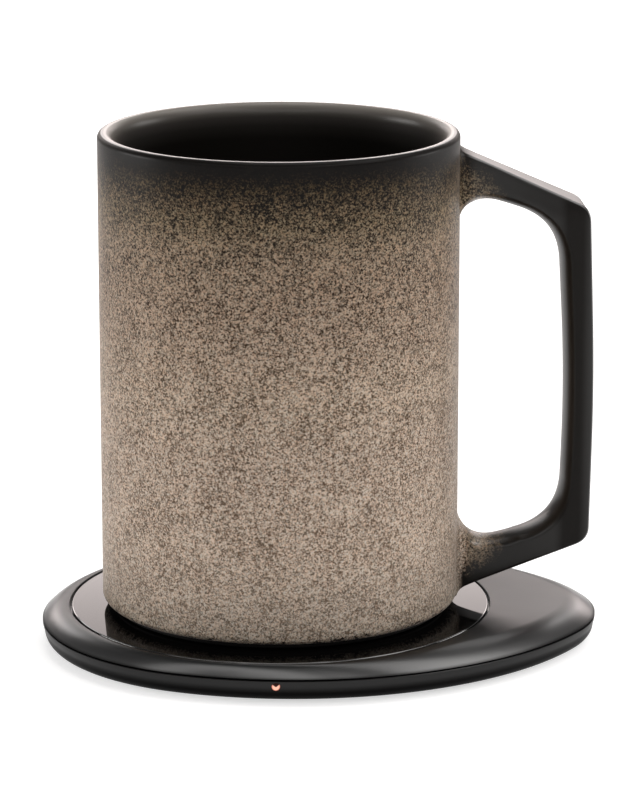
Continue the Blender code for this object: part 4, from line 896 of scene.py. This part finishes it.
def glaze():
    """Speckled sand glaze that turns satin black at the lip, inside and on the handle, with a
    painted sheen inside under the lip and painted shade at the foot.
    """
    look = Look("glaze")
    place = look.place()
    x, y, z = look.split(place)
    patch = look.gap(look.noise(place, PATCH_SCALE, 3), 0.5)
    spray = look.gap(look.noise(place, SPRAY_SCALE, 2), 0.5)
    drift = look.sum(look.product(patch, PATCH_REACH), look.product(spray, SPRAY_REACH))
    height = look.sum(z, look.product(drift, TONE_DRIFT))
    share = look.math("DIVIDE", look.gap(height, GLAZE_LOW), MUG_TOP - GLAZE_LOW)
    sand, relief = speckle(look, place, x, share)

    inside = look.ramp(look.length(x, y), BLACK_INSIDE_RADIUS - BLACK_INSIDE_BLEND,
                       BLACK_INSIDE_RADIUS, 1.0, 0.0)
    black = blackness(look, x, z, inside, drift)
    # Painted sheen inside: the inner glaze is lighter just under the lip and darkens with
    # depth
    depth = look.math("DIVIDE", look.gap(MUG_TOP, z), INNER_SHEEN_REACH)
    inner = look.tones(depth, [(stop, rgb(*tone)) for stop, tone in INNER_SHEEN_TONES])
    black_and_sheen = look.mix(look.noise(place, BLACK_SCALE, 3), *BLACK_TONES)
    black_and_sheen = look.mix(inside, black_and_sheen, inner)

    lip = look.ramp(z, *LIP_COAT_HEIGHTS, 0.0, LIP_COAT)
    bowl = look.product(look.ramp(z, *INNER_COAT_HEIGHTS, *INNER_COATS), inside)
    coat = look.most(lip, bowl, handle_coat(look, x, z), WALL_COAT)
    look.surface(Base_Color=look.mix(black, sand, black_and_sheen), IOR=1.12,
                 Roughness=look.ramp(black, 0.0, 1.0, 0.5, 0.36), Coat_Weight=coat,
                 Sheen_Weight=0.16, Sheen_Roughness=0.3, Sheen_Tint=(1.0, 0.88, 0.81, 1.0),
                 Normal=look.bump(relief, 0.05 * MM, 0.4), **SATIN_COAT)
    return look.material


# Housing: height bands over which its polish comes and goes
WALL_GLOSS = 0.27
WALL_GLOSS_HEIGHTS = (2.6 * MM, 4.6 * MM)
SHOULDER_HEIGHTS = (EDGE_HEIGHT + 0.2 * MM, EDGE_HEIGHT + 0.8 * MM)
CROWN_GLOSS = 0.36
CROWN_HEIGHTS = (8.0 * MM, COASTER_TOP)
PLASTIC_FINE_SCALE = 1800
PLASTIC_BROAD_SCALE = 60
PLATE_WEAR_SCALE = 90


def housing():
    """Black plastic, polished on the shoulder and matt under the edge of the wall."""
    look = Look("housing_satin")
    place = look.place()
    fine = look.noise(place, PLASTIC_FINE_SCALE, 2)
    broad = look.noise(place, PLASTIC_BROAD_SCALE, 3)
    height = look.split(place)["Z"]
    wall = look.ramp(height, *WALL_GLOSS_HEIGHTS, 0.0, WALL_GLOSS)
    shoulder = look.ramp(height, *SHOULDER_HEIGHTS, 0.0, 1.0 - WALL_GLOSS)
    crown = look.ramp(height, *CROWN_HEIGHTS, 0.0, CROWN_GLOSS - 1.0)
    look.surface(Base_Color=look.mix(broad, rgb(5, 5, 5), rgb(9, 8, 8)), IOR=1.1,
                 Roughness=look.ramp(broad, *NOISE_SPAN, 0.38, 0.44),
                 Coat_Weight=look.sum(look.sum(wall, shoulder), crown),
                 Normal=look.bump(fine, 0.04 * MM, 0.45), **SATIN_COAT)
    return look.material


def base_plastic():
    """Matt black plastic of the mug's base, with a fine even grain."""
    look = Look("base_matt")
    place = look.place()
    fine = look.noise(place, PLASTIC_FINE_SCALE, 2)
    broad = look.noise(place, PLASTIC_BROAD_SCALE, 3)
    red, green, blue, alpha = rgb(10, 9, 9)
    tones = [(red * level, green * level, blue * level, alpha) for level in (0.85, 1.15)]
    look.surface(Base_Color=look.mix(broad, *tones), IOR=1.2,
                 Roughness=look.ramp(broad, *NOISE_SPAN, 0.57, 0.63),
                 Normal=look.bump(fine, 0.02 * MM, 0.35))
    return look.material


def gloss():
    """Polished black plate: a dark body with a brighter coat on its rounded rim."""
    look = Look("plate_gloss")
    place = look.place()
    wear = look.noise(place, PLATE_WEAR_SCALE, 4)
    x, y, z = look.split(place)
    rim = look.ramp(look.length(x, y), PLATE_RADIUS - PLATE_EDGE,
                    PLATE_RADIUS - PLATE_EDGE / 2)
    look.surface(Base_Color=look.mix(wear, rgb(5, 5, 5), rgb(8, 7, 7)), IOR=1.15,
                 Roughness=look.ramp(wear, 0.3, 0.8, 0.03, 0.06),
                 Coat_Weight=rim, Coat_Roughness=0.1, Coat_IOR=1.8)
    return look.material


# Status light: slope and soft edge of the painted shade over the top of the lens, and the
# radii of the redder rim
LENS_SHADE_SLOPE = -0.7
LENS_SHADE_EDGE = (-0.2 * MM, 0.06 * MM)
LENS_RIM = (0.6 * MM, 1.0 * MM)
LENS_GRIT_SCALE = 4000


def lit_lens():
    """Status light: a peach glow with painted shade over its top, dark red there, and redder
    at its rim.
    """
    look = Look("lens_glow")
    place = look.place()
    x, y, z = look.split(place)
    across = look.gap(x, LIGHT_X)
    rise = look.gap(z, LIGHT_Z)
    # Painted shade: the lens top, in colour and in glow, is darkened as if the window's upper
    # edge shaded it
    notch = look.sum(rise, look.product(look.math("ABSOLUTE", across), LENS_SHADE_SLOPE))
    lens_shade = look.ramp(notch, *LENS_SHADE_EDGE)
    rim = look.ramp(look.length(across, rise), *LENS_RIM)
    glow = look.mix(rim, rgb(240, 200, 176), rgb(196, 72, 48))
    grit = look.noise(place, LENS_GRIT_SCALE, 2, 0.5)
    red = look.mix(grit, rgb(120, 30, 20), rgb(160, 50, 35))
    look.surface(Base_Color=look.mix(lens_shade, red, rgb(16, 6, 5)), Roughness=0.3, IOR=1.2,
                 Emission_Color=look.mix(lens_shade, glow, rgb(40, 13, 10)),
                 Emission_Strength=1.0)
    return look.material


def grainy(name, low, high, roughness, metallic=0.0, scale=1500, depth=0.02 * MM,
           stretch=None):
    """A procedural finish between two tones, with its own grain."""
    look = Look(name)
    place = look.place()
    if stretch:
        place = look.add("Mapping", Vector=place, Scale=stretch).outputs[0]
    fine = look.noise(place, scale, 3)
    look.surface(Base_Color=look.mix(look.ramp(fine, *NOISE_SPAN), low, high),
                 Roughness=look.ramp(fine, *NOISE_SPAN, roughness - 0.05, roughness + 0.05),
                 Metallic=metallic, Normal=look.bump(fine, depth, 0.5))
    return look.material


# Finishes of the solids that stay: two tones, roughness, metal, scale, depth and stretch
HIDDEN_LOOKS = {
    "tape": (rgb(205, 204, 198), rgb(222, 221, 216), 0.6),
    "wire": (rgb(196, 110, 62), rgb(222, 138, 88), 0.32, 1.0, 700),
    "ferrite": (rgb(48, 47, 49), rgb(66, 65, 68), 0.55),
    "aluminium": (rgb(186, 188, 192), rgb(214, 216, 220), 0.34, 1.0, 900, 0.02 * MM,
                  (1, 12, 1)),
    "board": (rgb(18, 74, 44), rgb(28, 98, 60), 0.42, 0.0, 1100),
    "chip": (rgb(30, 30, 32), rgb(42, 42, 45), 0.5, 0.0, 3000),
    "ceramic": (rgb(158, 126, 90), rgb(182, 150, 112), 0.5),
    "steel": (rgb(176, 177, 180), rgb(205, 206, 208), 0.3, 1.0, 900, 0.02 * MM, (1, 1, 10)),
    "diode": (rgb(222, 220, 205), rgb(238, 236, 224), 0.35),
    "felt": (rgb(150, 146, 140), rgb(196, 192, 186), 0.95, 0.0, 2500, 0.2 * MM),
    "pad": (rgb(112, 140, 176), rgb(134, 162, 196), 0.7),
    "silicone": (rgb(32, 32, 34), rgb(44, 44, 46), 0.75),
}
NODE_LOOKS = {
    "plate_tape": "tape", "transmitter_coil": "wire", "receiver_coil": "wire",
    "transmitter_ferrite": "ferrite", "receiver_ferrite": "ferrite",
    "power_inductor": "ferrite", "coil_shield": "aluminium", "heater_plate": "aluminium",
    "driver_board": "board", "receiver_board": "board", "coil_sensor": "chip",
    "control_chip": "chip", "power_switch": "chip", "rectifier_chip": "chip",
    "temperature_bead": "chip", "inlet_tongue": "chip", "resonant_capacitor": "ceramic",
    "housing_screw": "steel", "heater_track": "steel", "indicator_led": "diode",
    "insulation_felt": "felt", "thermal_pad": "pad", "base_seal": "silicone",
}


def dress_nodes(replaced):
    """Give every solid that stays its own procedural finish."""
    looks = {name: grainy(name, *values) for name, values in HIDDEN_LOOKS.items()}
    for name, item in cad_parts.items():
        if name in replaced:
            continue
        family = name.rstrip("0123456789").rstrip("_")
        for holder in item.material_slots:
            holder.material = looks[NODE_LOOKS[family]]
    return looks


def aim_at(item, target):
    """Turn a light or the camera toward a place."""
    item.rotation_euler = (Vector(target) - item.location).to_track_quat("-Z", "Y").to_euler()


CAMERA_TURN = -3.8
CAMERA_SIDE = 9.07 * MM
CAMERA_DISTANCE = 844.5 * MM
CAMERA_HEIGHT = 264.6 * MM
CAMERA_AIM_HEIGHT = 55.64 * MM
CAMERA_SENSOR = 36
CAMERA_LENS = 174.96


def camera():
    """View from the front, a little above, with the handle at the right."""
    turn = Matrix.Rotation(radians(CAMERA_TURN), 4, "Z")
    lens = bpy.data.cameras.new("camera")
    lens.sensor_fit = "VERTICAL"
    lens.sensor_height = CAMERA_SENSOR
    lens.lens = CAMERA_LENS
    lens.clip_start = 10 * MM
    item = bpy.data.objects.new("camera", lens)
    bpy.context.scene.collection.objects.link(item)
    item.location = turn @ Vector((CAMERA_SIDE, -CAMERA_DISTANCE, CAMERA_HEIGHT))
    aim_at(item, turn @ Vector((CAMERA_SIDE, 0, CAMERA_AIM_HEIGHT)))
    bpy.context.scene.camera = item


# Floor: its tone to soft light and to the eye, its glow near the object, and the distances
# over which that glow grows to 1
FLOOR_SIZE = 4.0
FLOOR_SOFT_LEVEL = 0.8
FLOOR_SEEN_LEVEL = 0.6
FLOOR_NEAR_GLOW = 0.6
FLOOR_GLOW_REACH = (0.25, 0.8)
WORLD_LEVEL = 0.15


def seen_by_eye(look):
    """1 for camera, glossy and transmission rays, 0 for the rays of soft light."""
    rays = look.add("LightPath").outputs
    return look.most(rays["Is Camera Ray"], rays["Is Glossy Ray"],
                     rays["Is Transmission Ray"])


def white_floor():
    """Pale floor: it glows white to the eye, with a soft shadow, but not to soft light."""
    form = bmesh.new()
    bmesh.ops.create_grid(form, x_segments=1, y_segments=1, size=FLOOR_SIZE)
    floor = show("floor", new_mesh("floor", form))
    look = Look("floor")
    seen = seen_by_eye(look)
    bright = look.ramp(seen, 0, 1, FLOOR_SOFT_LEVEL, FLOOR_SEEN_LEVEL)
    tone = look.add("CombineColor", Red=bright, Green=bright, Blue=bright).outputs[0]
    away = look.add("VectorMath", {"operation": "LENGTH"}, i0=look.place()).outputs["Value"]
    glow = look.ramp(away, *FLOOR_GLOW_REACH, FLOOR_NEAR_GLOW, 1.0)
    look.surface(Base_Color=tone, Roughness=0.9, Specular_IOR_Level=0.0,
                 Emission_Color=(1, 1, 1, 1), Emission_Strength=look.product(glow, seen))
    floor.data.materials.append(look.material)


def soft_world():
    """Even white light from all round."""
    world = bpy.data.worlds.new("studio")
    bpy.context.scene.world = world
    world.use_nodes = True
    back = world.node_tree.nodes["Background"]
    back.inputs["Color"].default_value = (1, 1, 1, 1)
    back.inputs["Strength"].default_value = WORLD_LEVEL


LAMP_AIM_HEIGHT = 50 * MM
NEUTRAL = (1.0, 0.98, 0.965)
WARM = (1.0, 0.895, 0.87)
# Name, azimuth from the front to the right, elevation, distance, size, radiance, tint
LIGHTS = (
    ("overhead", 180, 86, 1.0, (0.5, 0.6), 4.0, NEUTRAL),
    ("front_left", -46, 32, 1.2, (0.9, 0.4), 1.9, NEUTRAL),
    ("front_middle", 0, 23, 1.2, (1.0, 0.36), 2.5, NEUTRAL),
    ("front_right", 46, 36, 1.2, (1.0, 0.4), 3.0, NEUTRAL),
    ("side_right", 92, 55, 1.1, (0.72, 0.42), 3.9, NEUTRAL),
    ("behind", 177, 14.5, 1.35, (1.45, 0.24), 4.3, WARM),
    ("left_rim", -102, 8, 1.1, (0.5, 0.32), 12.0, NEUTRAL),
    ("back_left", -160, 26, 1.2, (0.6, 0.26), 3.0, NEUTRAL),
    ("right_rim", 104, 9, 1.1, (0.45, 0.34), 8.0, NEUTRAL),
    ("back_right", 160, 31, 1.1, (0.45, 0.38), 1.9, NEUTRAL),
)


def softbox(name, azimuth, elevation, distance, size, radiance, tint):
    """A plane light aimed at the mug, unseen by the camera."""
    lamp = bpy.data.lights.new(name, "AREA")
    lamp.shape = "RECTANGLE"
    lamp.size, lamp.size_y = size
    lamp.energy = radiance * pi * size[0] * size[1]
    lamp.color = tint
    item = bpy.data.objects.new(name, lamp)
    bpy.context.scene.collection.objects.link(item)
    level = distance * cos(radians(elevation))
    item.location = (level * sin(radians(azimuth)), -level * cos(radians(azimuth)),
                     LAMP_AIM_HEIGHT + distance * sin(radians(elevation)))
    item.visible_camera = False
    aim_at(item, (0, 0, LAMP_AIM_HEIGHT))


def surroundings():
    """White studio: a pale floor, soft light all round and the light boxes."""
    soft_world()
    white_floor()
    for light in LIGHTS:
        softbox(*light)


PIECES = (
    (upper_shell, "upper_housing", "coaster", "black_plastic"),
    (lower_shell, "lower_housing", "coaster", "black_plastic"),
    (plate, "top_plate", "coaster", "gloss_black"),
    (mat, "slip_mat", "coaster", "silicone_black"),
    (light_lens, "light_pipe", "coaster", "clear_plastic"),
    (inlet, "inlet_shell", "coaster", "steel"),
    (mug, "mug_body", "mug", "stoneware"),
    (base, "base_cover", "mug", "black_plastic"),
)


def main():
    camera()
    surroundings()
    looks = dress_nodes({node for make, node, body, slot_name in PIECES})
    plastic = housing()
    matt = base_plastic()
    dressing = {"upper_housing": plastic, "lower_housing": plastic, "top_plate": gloss(),
                "slip_mat": looks["silicone"], "light_pipe": lit_lens(),
                "inlet_shell": looks["steel"], "mug_body": glaze(), "base_cover": matt}
    for make, node, body, slot_name in PIECES:
        item = make()
        item.data.materials.clear()
        item.data.materials.append(dressing[node])
        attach(item, body)
        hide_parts(node)
    bpy.context.scene.view_settings.view_transform = "Standard"


main()
